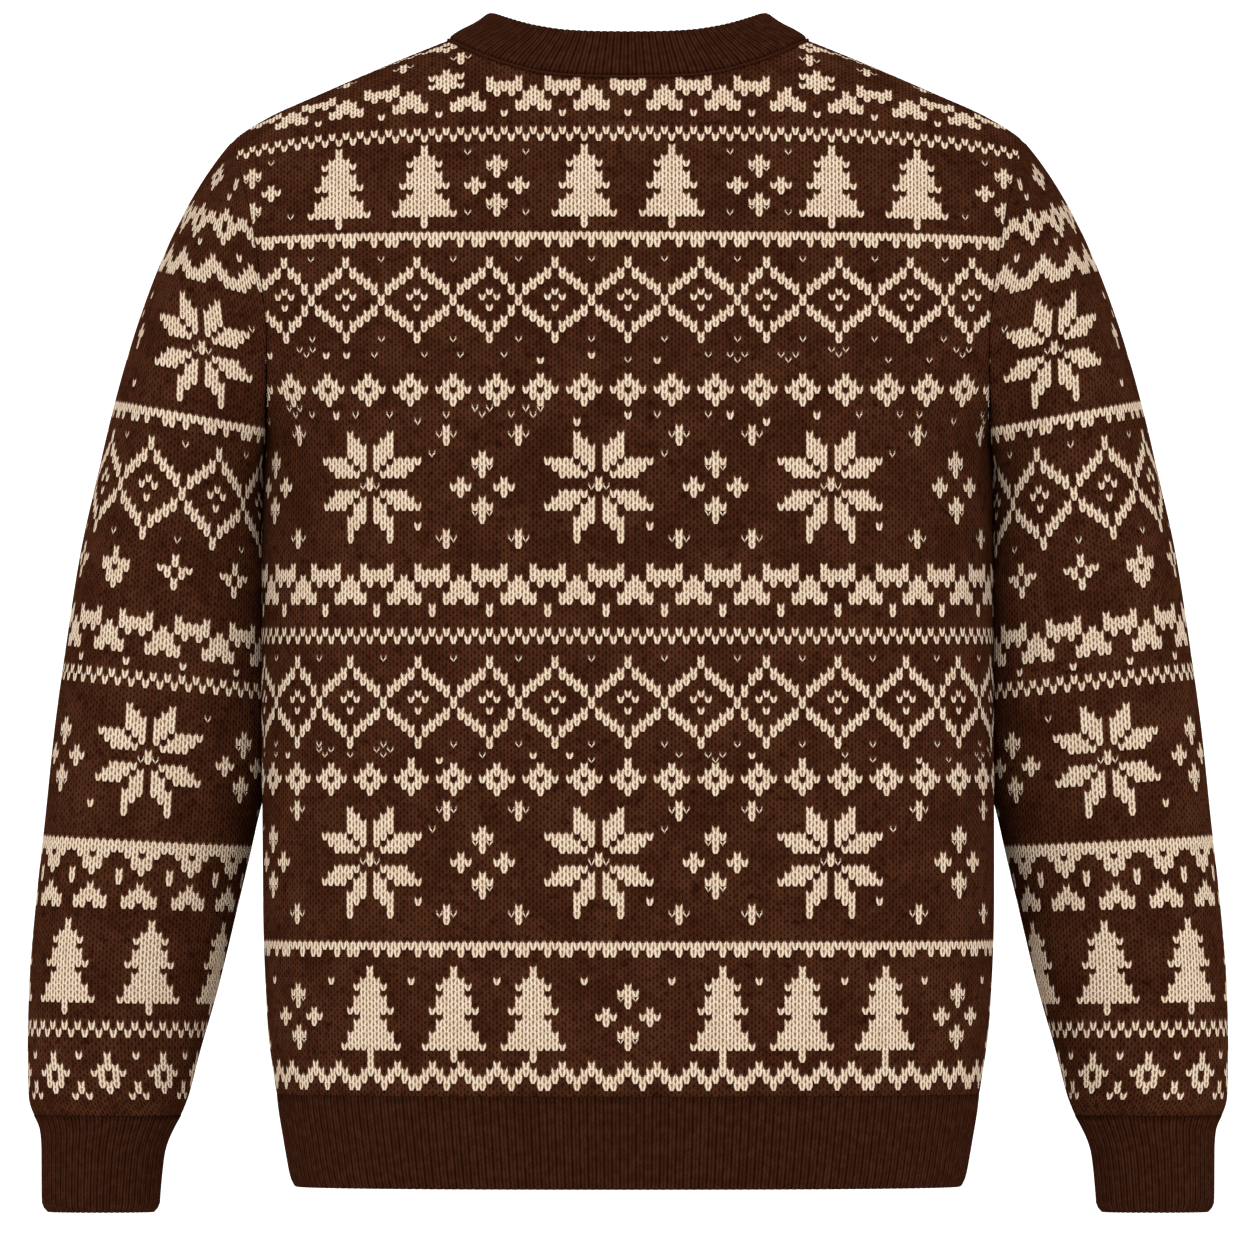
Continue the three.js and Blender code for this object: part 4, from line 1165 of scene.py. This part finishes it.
    flat = [laid(par[flatv], 0.005, scale)]
    room = 0.99 - (0.012 + span_a * scale)
    small = min(room / span_a, 0.3 / span_t)
    n_rim = 4 * len(rim_faces)
    rim_flat = laid(allpar[rest[:n_rim]], 0.012 + span_a * scale, small)
    rim_flat[:, 1] += 0.35
    flat += [rim_flat, laid(allpar[rest[n_rim:]], 0.012 + span_a * scale, small)]
    n_rest = len(rim_faces) + len(inner_faces)
    floats = {
        "own": np.concatenate([own, np.zeros(n_rest)]),
        "below": np.concatenate([below, np.zeros(n_rest)]),
        "tone": np.concatenate([tone, np.full(n_rest, 0.5)]),
    }
    slots = np.concatenate([np.zeros(len(faces), int), np.ones(n_rest, int)])
    if flip != mirror:
        every = [f[::-1] for f in every]
        order = np.concatenate([sizes, np.full(len(rim_faces), 4), np.array([len(f) for f in inner_faces])])
        ends = np.cumsum(order)
        swap = np.concatenate([np.arange(e - 1, e - n - 1, -1) for e, n in zip(ends, order)])
    else:
        swap = slice(None)
    par = np.stack(cloth.flat(par[:, 0], par[:, 1]), axis=1)
    area = float(np.sum(polygon_area(par, faces)))
    return {
        "name": name, "verts": verts * MM, "faces": every,
        "uvs": {"stitch": np.concatenate(stitch)[swap], "OFBake": np.concatenate(flat)[swap]},
        "floats": floats, "slots": slots, "cut_area": area * MM * MM,
        "cut": (float(np.ptp(par[:, 0])) * MM, float(np.ptp(par[:, 1])) * MM),
    }


def polygon_area(par, faces):
    quads = np.array([f for f in faces if len(f) == 4])
    out = []
    for group in (quads,):
        x, y = par[group, 0], par[group, 1]
        out.append(0.5 * np.abs(np.sum(x * np.roll(y, -1, 1) - y * np.roll(x, -1, 1), axis=1)))
    for f in faces:
        if len(f) != 4:
            x, y = par[f, 0], par[f, 1]
            out.append(np.array([0.5 * abs(float(np.sum(x * np.roll(y, -1) - y * np.roll(x, -1))))]))
    return np.concatenate(out)


def build(data, materials):
    mesh = bpy.data.meshes.new(data["name"])
    mesh.from_pydata(data["verts"].tolist(), [], data["faces"])
    for name, uv in data["uvs"].items():
        layer = mesh.uv_layers.new(name=name)
        layer.data.foreach_set("uv", np.ascontiguousarray(uv, dtype=np.float32).ravel())
    for name, values in data.get("floats", {}).items():
        mesh.attributes.new(name, "FLOAT", "FACE").data.foreach_set("value", np.asarray(values, np.float32))
    for material in materials:
        mesh.materials.append(material)
    if "slots" in data:
        mesh.polygons.foreach_set("material_index", np.asarray(data["slots"], np.int32))
    mesh.polygons.foreach_set("use_smooth", np.ones(len(mesh.polygons), bool))
    mesh.update()
    piece = bpy.data.objects.new(data["name"], mesh)
    scene.collection.objects.link(piece)
    return piece


# ---- the body -----------------------------------------------------------------------------------------------------
# Bands from the hem seam up: the height of the band's top on the middle line, in mm, and its number of courses.
BODY_BANDS = [
    ("plain_hem", -625.8, 1), ("chevron", -609.0, 4), ("trees_low", -552.0, 16), ("plain_a", -546.2, 2),
    ("stripe_low", -537.6, 2), ("plain_b", -523.2, 4), ("stars_low", -457.2, 17), ("plain_c", -450.0, 2),
    ("flowers_low", -430.8, 5), ("scatter_a", -421.8, 3), ("diamonds_low", -367.2, 16), ("plain_d", -359.4, 2),
    ("zigzag_low", -350.4, 2), ("dots_a", -336.0, 4), ("crowns_low", -312.0, 7), ("plain_e", -299.4, 4),
    ("stars_high", -233.4, 17), ("scatter_b", -217.8, 4), ("flowers_high", -198.6, 5), ("scatter_c", -180.0, 6),
    ("diamonds_high", -129.0, 16), ("plain_f", -122.8, 2), ("stripe_high", -114.0, 2), ("plain_g", -111.2, 1),
    ("trees_high", -61.5, 15), ("plain_h", -59.1, 1), ("zigzag_high", -51.0, 2), ("dots_b", -40.8, 3),
    ("crowns_high", -19.6, 7), ("plain_i", -9.0, 3), ("pluses_top", 0.0, 3), ("plain_j", 90.0, 26),
]


def body_rows(cloth):
    mid_z = cloth.place(np.zeros(400), np.linspace(0, cloth.height + 60, 400))[:, 2]
    mid_t = np.linspace(0, cloth.height + 60, 400)
    last = int(np.argmax(mid_z >= 7.99)) or 399
    edges, starts = [SEAM / 2], {}
    for name, top, n in BODY_BANDS:
        if top <= 0:
            end = float(np.interp(top, mid_z[: last + 1], mid_t[: last + 1]))
        else:
            end = edges[-1] + n * 3.4
        starts[name] = len(edges) - 1
        edges += list(np.linspace(edges[-1], end, n + 1)[1:])
        if edges[-1] > cloth.height + 17:
            break
    return np.array(edges), starts


def body_chart(cloth, edges, at, side):
    c = Chart(len(edges), int(math.ceil(cloth.half_width / WALE)) + 2)
    t = {name: float(edges[k]) for name, k in at.items()}

    def cols(name, *xs):
        return [cloth.column(x, t[name] + 20) for x in xs]

    c.repeat(CHEVRON, at["chevron"], 4, 9)
    low = [54.5, 103, 152]
    trees = [s * x for x in low for s in (-1, 1)]
    c.each(TREE, at["trees_low"], cols("trees_low", *trees))
    c.each(QUAD, at["trees_low"] + 2, cols("trees_low", 0, -197.5, 197.5))
    c.each(TREE, at["trees_low"], [s * (cloth.column(197.5, t["trees_low"]) + 13) for s in (-1, 1)])
    c.repeat(DOT, at["trees_low"] + 13, 6, 12)
    c.repeat(STRIPE, at["stripe_low"], 0, 6)
    for name in ("stars_low", "stars_high"):
        c.each(STAR, at[name], [-36, -4, 28])
        c.each(QUAD, at[name] + 3, [-54, -20, 12, 48])
        for row in (-1, 15):
            c.each(PLUS, at[name] + row, [-48, -25, -15, 7, 17, 41, 54])
        c.repeat(DOT, at[name] + 2, 3, 32)
        c.repeat(FAINT, at[name] + 13, 5, 32)
    for name in ("flowers_low", "flowers_high"):
        c.repeat(FLOWER, at[name], 0, 6)
    c.scatter(at["scatter_a"], 2, 11)
    c.scatter(at["scatter_b"] + 1, 2, 12)
    c.scatter(at["scatter_c"] + 2, 2, 13)
    for name in ("diamonds_low", "diamonds_high"):
        c.lattice(at[name], (0, 10, 19, 29, 39, 48, 58, 68))
    for name in ("zigzag_low", "zigzag_high"):
        c.repeat(ZIGZAG, at[name], 0, 2)
    c.repeat(DOT2, at["dots_a"] + 2, 5, 8)
    c.repeat(CROWN, at["crowns_low"], 7, 8)
    c.repeat(STRIPE, at["stripe_high"], 0, 6)
    high = [6, 28, 40]
    c.each(TREE_SHORT, at["trees_high"], [s * k for k in high for s in (-1, 1)])
    c.each(QUAD, at["trees_high"] + 2, [-18, 18, -53, 53])
    for s in (-1, 1):
        c.each(FAINT, at["trees_high"] + 2, [14 * s, 22 * s, 47 * s])
        c.each(FAINT, at["trees_high"] + 13, [14 * s, 22 * s, 50 * s])
    for s in (-1, 1):
        c.each(LOW_CROWN, at["crowns_high"], [s * k for k in (5, 13, 22, 30, 39, 47)])
        c.each(HIGH_CROWN, at["crowns_high"] + 3, [s * k for k in (0, 9, 17, 26, 34, 43, 51)])
        c.each(DOT, at["dots_b"] + 2, [s * k for k in (0, 9, 17, 26, 34, 43)])
    c.repeat(PLUS, at["pluses_top"], 1, 8)
    if side < 0:
        for x, z, m in ((111.0, -23.5, BLOOM), (109.8, -2.4, FLOWER)):
            for s in (-1, 1):
                r, k = spot(cloth, edges, s * x, z)
                c.light[r - 3 : r + 4, c.zero + k - 3 : c.zero + k + 4] = 0
                c.put(m, r - 2, k)
    if "plain_j" in at:
        c.repeat(ZIGZAG, at["plain_j"] + 3, 0, 2)
        c.repeat(FLOWER, at["plain_j"] + 8, 0, 8)
        c.repeat(DOT, at["plain_j"] + 16, 0, 6)
    return c.light


# ---- the sleeves ----------------------------------------------------------------------------------------------------
SLEEVE_BANDS = [
    ("plain_a", -633.0, 3), ("rings_low", -605.4, 8), ("plain_b", -595.6, 2), ("zigzag_low", -586.8, 2),
    ("plain_c", -582.0, 1), ("trees", -525.6, 16), ("plain_d", -518.4, 2), ("bumps", -504.0, 4),
    ("plain_e", -498.6, 1), ("triangles", -478.2, 6), ("plain_f", -463.2, 4), ("star_low", -397.2, 17),
    ("plain_g", -387.0, 3), ("zigzag_mid", -378.0, 2), ("plain_h", -367.2, 3), ("crowns", -342.6, 7),
    ("plain_i", -330.6, 3), ("sparks", -303.0, 8), ("plain_j", -300.0, 1), ("diamonds", -243.0, 15),
    ("plain_k", -231.6, 3), ("stripe", -222.6, 2), ("plain_l", -215.6, 2), ("star_high", -153.0, 17),
    ("plain_m", -144.0, 2), ("arches", -126.6, 5), ("plain_n", -123.0, 1), ("rings_high", -98.4, 7),
    ("plain_o", -93.0, 2), ("quads", -63.0, 9), ("plain_p", -40.0, 7),
]


def sleeve_rows(cloth):
    edges, starts = [SEAM / 2], {}
    for name, top, n in SLEEVE_BANDS:
        starts[name] = len(edges) - 1
        edges += list(np.linspace(edges[-1], top - cloth.base, n + 1)[1:])
    edges = np.array(edges)
    keep = int(np.searchsorted(edges, cloth.height + 3)) + 1
    return edges[:keep], starts


def sleeve_chart(cloth, edges, at):
    c = Chart(len(edges), int(math.ceil(cloth.half_width / WALE)) + 2)

    def col(name, x, up=10):
        return cloth.column(x, float(edges[min(at[name], len(edges) - 1)]) + up)

    k = col("rings_low", 311)
    c.repeat(RING, at["rings_low"] + 1, k, 8)
    c.repeat(TRIO, at["rings_low"], k + 4, 8)
    c.repeat(DOT, at["rings_low"] + 7, k + 4, 8)
    c.repeat(ZIGZAG, at["zigzag_low"], 0, 2)
    c.repeat(TREE, at["trees"], col("trees", 285.6, 20), 12)
    k = col("bumps", 294)
    c.repeat(BUMP, at["bumps"], k, 7)
    c.repeat(TRIANGLE, at["triangles"], k, 7)
    c.repeat(DOT2, at["plain_e"], k + 3, 7)
    k = col("star_low", 289, 30)
    c.repeat(STAR, at["star_low"], k, 28)
    c.repeat(QUAD, at["star_low"] + 3, k + 14, 28)
    c.repeat(DOT, at["star_low"] + 1, k + 8, 28)
    c.repeat(FAINT, at["star_low"] + 15, k - 8, 28)
    c.repeat(ZIGZAG, at["zigzag_mid"], 0, 2)
    k = col("crowns", 262)
    c.repeat(CROWN, at["crowns"], k + 2, 8)
    c.repeat(DOT, at["plain_h"] + 1, k + 1, 8)
    k = col("sparks", 271)
    c.repeat(SPARK, at["sparks"] + 1, k, 18)
    c.repeat(SPARK, at["sparks"] + 1, k - 9, 18)
    k2 = col("sparks", 232)
    c.repeat(RING, at["sparks"], k - 27, 36)
    c.repeat(DIAMOND, at["diamonds"], col("diamonds", 286.8, 26), 10)
    c.repeat(STRIPE, at["stripe"], 0, 6)
    k = col("star_high", 253, 30)
    c.repeat(STAR, at["star_high"], k, 28)
    c.each(QUAD, at["star_high"] + 3, [k - 14, k + 42])
    for x, z, m, low in ((293.0, -177.0, SMALL, 1), (284.4, -149.4, DOT, 0), (289.8, -160.0, DOT, 0), (295.0, -203.0, DOT, 0)):
        r, k2 = spot(cloth, edges, x, z)
        c.put(m, r - low, k2)
    c.repeat(FAINT, at["star_high"] + 13, k - 8, 28)
    # round the cap the motifs stand where its wales close up
    r, k = spot(cloth, edges, 246.6, -128.4)
    c.repeat(WAVE, r - 4, k, 7)
    r, k = spot(cloth, edges, 241.8, -111.0)
    c.repeat(LINKS, r - 2, k + 1, 7)
    for x, z, m, low in (
        (256.8, -121.2, DOT, 0), (232.8, -129.0, DOT, 0), (247.0, -82.0, FLOWER, 2), (234.6, -87.6, DOT2, 0),
        (238.2, -93.0, DOT, 0),
    ):
        r, k = spot(cloth, edges, x, z)
        c.put(m, r - low, k)
    return c.light


# ---- soft creases, placed one by one --------------------------------------------------------------------------------
def trough(a, t, a0, t0, angle, length, width, depth_mm):
    """A soft furrow: a place, a direction, a length and a width, fading at both ends."""
    c, s = math.cos(math.radians(angle)), math.sin(math.radians(angle))
    u, v = (a - a0) * c + (t - t0) * s, -(a - a0) * s + (t - t0) * c
    return -depth_mm * np.exp(-((u / length) ** 2)) * np.exp(-((v / width) ** 2))


def body_creases(a, t, p):
    b = np.abs(a)
    out = trough(b, t, 196, 360, 58, 46, 9, 1.1) + trough(b, t, 178, 338, 47, 34, 8, 0.7)
    out += 0.5 * np.sin(t / 61.0 + a / 83.0) * np.sin(a / 57.0 + 0.7) * smooth(t / 60.0) * smooth((480 - t) / 80.0)
    return out


def sleeve_creases(a, t, p):
    out = trough(a, t, -112, 265, 18, 30, 7, 1.3) + trough(a, t, -96, 240, -14, 26, 8, 1.0)
    out += trough(a, t, 112, 258, -20, 30, 7, 1.2) + trough(a, t, -70, 22, 8, 34, 7, 0.8)
    out += trough(a, t, 60, 26, -6, 30, 7, 0.8) + trough(a, t, -105, 345, 40, 30, 8, 0.9)
    return out


# ---- ribs -----------------------------------------------------------------------------------------------------------
def rib_ring(name, outer, ways, thick, ribs, per, amp, courses, up_along, flip, mirror, bead=0.0):
    """A ribbed band from its outer stations, seam first and free edge last. outer and ways are stations by places
    round; the ribs follow the places. The band turns over its free edge and runs back up inside."""
    stations, around = outer.shape[:2]
    phase = np.arange(around) / per
    u = phase % 1.0
    crest = np.abs(np.sin(math.pi * u)) ** 0.6
    far = np.concatenate([[0], np.cumsum(np.linalg.norm(np.diff(outer, axis=0), axis=2).mean(axis=1))])[:, None]
    fade = 0.3 + 0.7 * smooth((far - bead) / 2.5)
    lip = 0.0
    if bead:
        fade = smooth((far - bead) / 1.6)
        lip = 0.8 * np.exp(-(((far - 0.45 * bead) / (0.36 * bead)) ** 2)) - 0.6 * np.exp(-(((far - 1.2 * bead) / 0.7) ** 2))
    face = outer + ways * (amp * (crest[None, :] - 0.6) * fade + lip)[..., None]
    # the turn at the free edge, half a circle round its middle
    mid = outer[-1] - ways[-1] * thick / 2
    on = unit(outer[-1] - outer[-2])
    turn = []
    for k in range(1, 6):
        ang = math.pi * k / 6
        radius = thick / 2 + amp * (crest - 0.6) * (1 - k / 7.0)
        turn.append(mid + ways[-1] * (math.cos(ang) * radius)[:, None] + on * (math.sin(ang) * radius * 0.8)[:, None])
    picks = list(range(stations - 1, -1, -3))
    if picks[-1] != 0:
        picks.append(0)
    inner = [outer[k] - ways[k] * thick for k in picks]
    rows = np.concatenate([face, np.array(turn), np.array(inner)])
    n = len(rows)
    verts = rows.reshape(-1, 3).copy()
    if mirror:
        verts[:, 0] *= -1
    k, i = np.meshgrid(np.arange(n), np.arange(around), indexing="ij")
    k2, i2 = (k + 1) % n, (i + 1) % around
    quads = np.stack([k * around + i, k * around + i2, k2 * around + i2, k2 * around + i], axis=-1).reshape(-1, 4)
    run = np.concatenate([[0], np.cumsum(np.linalg.norm(np.diff(rows, axis=0), axis=2).mean(axis=1))])
    total = run[-1] + float(np.linalg.norm(rows[0] - rows[-1], axis=1).mean())
    v0, v1 = run[k], np.where(k + 1 < n, run[k2], total)
    u0 = phase[i]
    u1 = u0 + 1.0 / per
    stitch = np.stack([np.stack([u0, u1, u1, u0], -1), np.stack([v0, v0, v1, v1], -1) / courses], -1)
    if up_along:
        stitch[..., 1] *= -1
    wide = around
    bake = np.stack([
        np.stack([i, i + 1, i + 1, i], -1) / wide * 0.99 + 0.005,
        np.stack([v0, v0, v1, v1], -1) / total * 0.99 + 0.005,
    ], -1)
    stitch, bake = stitch.reshape(-1, 2), bake.reshape(-1, 2)
    faces = quads
    if flip != mirror:
        faces = quads[:, ::-1]
        stitch = stitch.reshape(-1, 4, 2)[:, ::-1].reshape(-1, 2)
        bake = bake.reshape(-1, 4, 2)[:, ::-1].reshape(-1, 2)
    at_seam = np.repeat(run[:n] + np.diff(np.append(run, total)) / 2, around)
    if bead:
        seam_shade = 0.55 * np.exp(-(((at_seam - 1.3 * bead) / 0.8) ** 2)) + 0.4 * np.exp(-((at_seam / 0.35) ** 2))
    else:
        seam_shade = 0.34 * np.exp(-((at_seam / 2.2) ** 2))
    length = float(np.linalg.norm(np.roll(outer[stations // 2], -1, 0) - outer[stations // 2], axis=1).sum())
    return {
        "name": name, "verts": verts * MM, "faces": faces.tolist(), "uvs": {"stitch": stitch, "OFBake": bake},
        "floats": {"bead": (at_seam < bead * 0.85).astype(float), "seam_shade": seam_shade},
        "cut": (length * MM, float(run[stations - 1]) * MM),
    }


def resampled(stations, ways, count, close=()):
    """More stations along a band's profile, on smooth tracks through the given ones, and their ways out. close
    lists more of them near the seam, in mm."""
    at = np.concatenate([[0], np.cumsum(np.linalg.norm(np.diff(stations, axis=0), axis=2).mean(axis=1))])
    want = np.linspace(0, at[-1], count)
    if close:
        want = np.concatenate([close, np.linspace(close[-1] + 1.2, at[-1], count)])
    count = len(want)
    out = []
    for rows in (stations, ways):
        flat = rows.reshape(len(rows), -1)
        more = np.stack([track(at, flat[:, k])(want) for k in range(flat.shape[1])], axis=1)
        out.append(more.reshape(count, *rows.shape[1:]))
    return out[0], unit(out[1])


def hem_band():
    count, per = 216, 6
    around = count * per
    levels = [-629.4 - SEAM / 2, -640.0, -655.0, -670.0, -677.0, -681.2, -683.9]
    drawn = [0.05, -0.2, 0.0, 0.2, 0.4, 1.0, 2.0]
    rows, ways = [], []
    for z, d in zip(levels, drawn):
        angle = np.linspace(0, math.pi / 2, 900)
        n = float(roundness(z))
        quarter = {}
        for side in (-1, 1):
            x = float(half(z)) * np.sin(angle) ** (2 / n)
            y = side * float(depth[side](z)) * np.cos(angle) ** (2 / n)
            y[-1] = 0
            quarter[side] = np.stack([x, y, np.full_like(x, z)], axis=1)
        b, f = quarter[-1], quarter[1]
        flip_x = np.array([-1, 1, 1])
        loop = np.concatenate([b[:-1], f[::-1][:-1], (f * flip_x)[:-1], (b * flip_x)[::-1]])
        ring = spaced(loop, np.arange(around) / around)
        side = np.where(ring[:, 1] <= 0, -1, 1)
        w = np.where(side[:, None] < 0, out_of_body(-1, ring), out_of_body(1, ring))
        w[:, 2] = 0
        w = unit(w)
        ring = ring - w * d
        ring[:, 2] = z
        rows.append(ring)
        ways.append(w)
    outer, way = resampled(np.array(rows), np.array(ways), 15)
    return rib_ring("hem_rib", outer, way, RIB, count, per, 0.40, 3.0, False, True, False)


def cuff(mirror):
    count, per = 54, 6
    around = count * per
    shares = np.linspace(0, 1, around // 2 + 1)
    levels = np.array([0, 0.5, 1, 1.5, 2, 2.4, 2.8, 3.0, 3.5, 4.0, 4.3, 4.6, 4.85, 5.0])
    rings = section_rings(CUFF, shares, levels)
    rings[0][:, 2] -= SEAM / 2
    along = unit(np.roll(rings, -1, 1) - np.roll(rings, 1, 1))
    rise = np.gradient(rings, axis=0)
    way = unit(np.cross(along, rise))
    middle = rings.mean(axis=1, keepdims=True)
    way *= np.sign(np.sum(way * (rings - middle), axis=-1, keepdims=True))
    way[0, :, 2] = 0
    way = unit(way)
    outer, way = resampled(rings, way, 20)
    name = "cuff_rib_left" if mirror else "cuff_rib_right"
    return rib_ring(name, outer, way, RIB, count, per, 0.42, 2.8, False, False, mirror)


def neckband():
    count, per = 128, 6
    fine = 240
    shares = np.linspace(0, 1, fine + 1)
    quarter = {}
    for side, rows in ((-1, BAND_BACK), (1, BAND_FRONT)):
        u = np.linspace(0, 1, 600)
        x = NECK_X * np.sin(u * math.pi / 2)
        line = on_body(side, x, neck_z[side](x))
        line[-1] = (NECK_X, 0, NECK_Z)
        p = spaced(line, shares)
        out = out_of_body(side, p)
        out[0, 0] = 0
        out[-1, 1] = 0
        out = unit(out)
        along = np.gradient(p, axis=0)
        along[0], along[-1] = (1, 0, 0), (0, 1, 0)
        into = unit(np.cross(unit(along), out))
        into *= np.where(into[:, 2:3] < 0, -1.0, 1.0)
        # near the middle the ribs stand almost straight, and they close up towards the sides
        lean = track([0.0, 0.2, 0.4, 0.6, 0.8, 1.0], [0.0, 0.253, 0.463, 0.645, 0.82, 1.0])(shares)
        top = np.stack([track(rows[:, 0], rows[:, k])(lean) for k in (1, 2, 3)], axis=1)
        quarter[side] = np.stack([p, out, into, top])
    flip_x = np.array([-1, 1, 1])
    b, f = quarter[-1], quarter[1]
    loop = np.concatenate([
        b[:, :-1], f[:, ::-1][:, :-1], (f * flip_x)[:, :-1], (b * flip_x)[:, ::-1],
    ], axis=1)
    # places round the band, evenly along its middle
    mid = (loop[0] + loop[3]) / 2
    run = np.concatenate([[0], np.cumsum(np.linalg.norm(np.diff(mid, axis=0), axis=1))])
    around = count * per
    want = np.arange(around) / around * run[-1]
    p, out, into, top = [
        np.stack([np.interp(want, run, part[:, k]) for k in range(3)], axis=1) for part in loop
    ]
    out, into = unit(out), unit(into)
    rise = unit(top - p)
    along = unit(np.roll(p + top, -1, 0) - np.roll(p + top, 1, 0))
    face = unit(np.cross(along, rise))
    face *= np.where(np.sum(face * out, axis=1, keepdims=True) < 0, -1.0, 1.0)
    ups = [0.0, 0.08, 0.3, 0.65, 0.84, 0.93, 0.975]
    outs = [0.0, 0.9, 1.3, 0.4, 0.6, 0.8, 0.4]
    leans = [0, 0, 0, 6, 14, 26, 38]
    rows, ways = [], []
    for k, (up, o, lean) in enumerate(zip(ups, outs, leans)):
        rows.append(p + (top - p) * up + face * o + (into * SEAM / 2 if k == 0 else 0))
        a = math.radians(lean)
        ways.append(out if k == 0 else unit(face * math.cos(a) + rise * math.sin(a)))
    outer, way = resampled(np.array(rows), np.array(ways), 13, (0.0, 0.4, 0.8, 1.2, 1.6, 2.0, 2.4, 2.9, 3.6))
    return rib_ring("neck_rib", outer, way, BAND, count, per, 0.45, 2.8, True, False, False, 2.1)


# ---- put together ---------------------------------------------------------------------------------------------------
KNIT_LOOK, INSIDE_LOOK, RIB_LOOK = knit_material(), inside_material(), rib_material()


def finish_piece(data, node, materials):
    piece = build(data, materials)
    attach(piece, "root")
    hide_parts(node)
    return piece


for side, node in ((-1, "body_back"), (1, "body_front")):
    cloth = BodyCloth(side)
    edges, at = body_rows(cloth)
    light = body_chart(cloth, edges, at, side)
    data = panel(node.replace("body", "knit"), cloth, edges, light, side > 0, False, KNIT, body_creases, True)
    piece = finish_piece(data, node, [KNIT_LOOK, INSIDE_LOOK])

cloth = SleeveCloth()
edges, at = sleeve_rows(cloth)
light = sleeve_chart(cloth, edges, at)
for mirror, node in ((False, "sleeve_right"), (True, "sleeve_left")):
    data = panel(node.replace("sleeve", "knit_sleeve"), cloth, edges, light, False, mirror, KNIT, sleeve_creases, True)
    piece = finish_piece(data, node, [KNIT_LOOK, INSIDE_LOOK])

for data, node in (
    (hem_band(), "hem_band"), (cuff(False), "cuff_right"), (cuff(True), "cuff_left"), (neckband(), "neckband"),
):
    piece = finish_piece(data, node, [RIB_LOOK])

# ---- floor ----------------------------------------------------------------------------------------------------------
floor_mesh = bpy.data.meshes.new("floor")
r, h = 7.0, -1.5
floor_mesh.from_pydata([(-r, -r, h), (r, -r, h), (r, r, h), (-r, r, h)], [], [(0, 1, 2, 3)])
floor = bpy.data.objects.new("floor", floor_mesh)
scene.collection.objects.link(floor)
g = Graph("pale_floor")
grain, _ = g.noise(1.5, 3.0)
g.plug(g.bsdf.inputs["Base Color"], g.mix(grain, (0.90, 0.90, 0.895, 1), (0.93, 0.93, 0.925, 1)))
g.bsdf.inputs["Roughness"].default_value = 0.95
g.bsdf.inputs["Specular IOR Level"].default_value = 0.1
floor_mesh.materials.append(g.material)
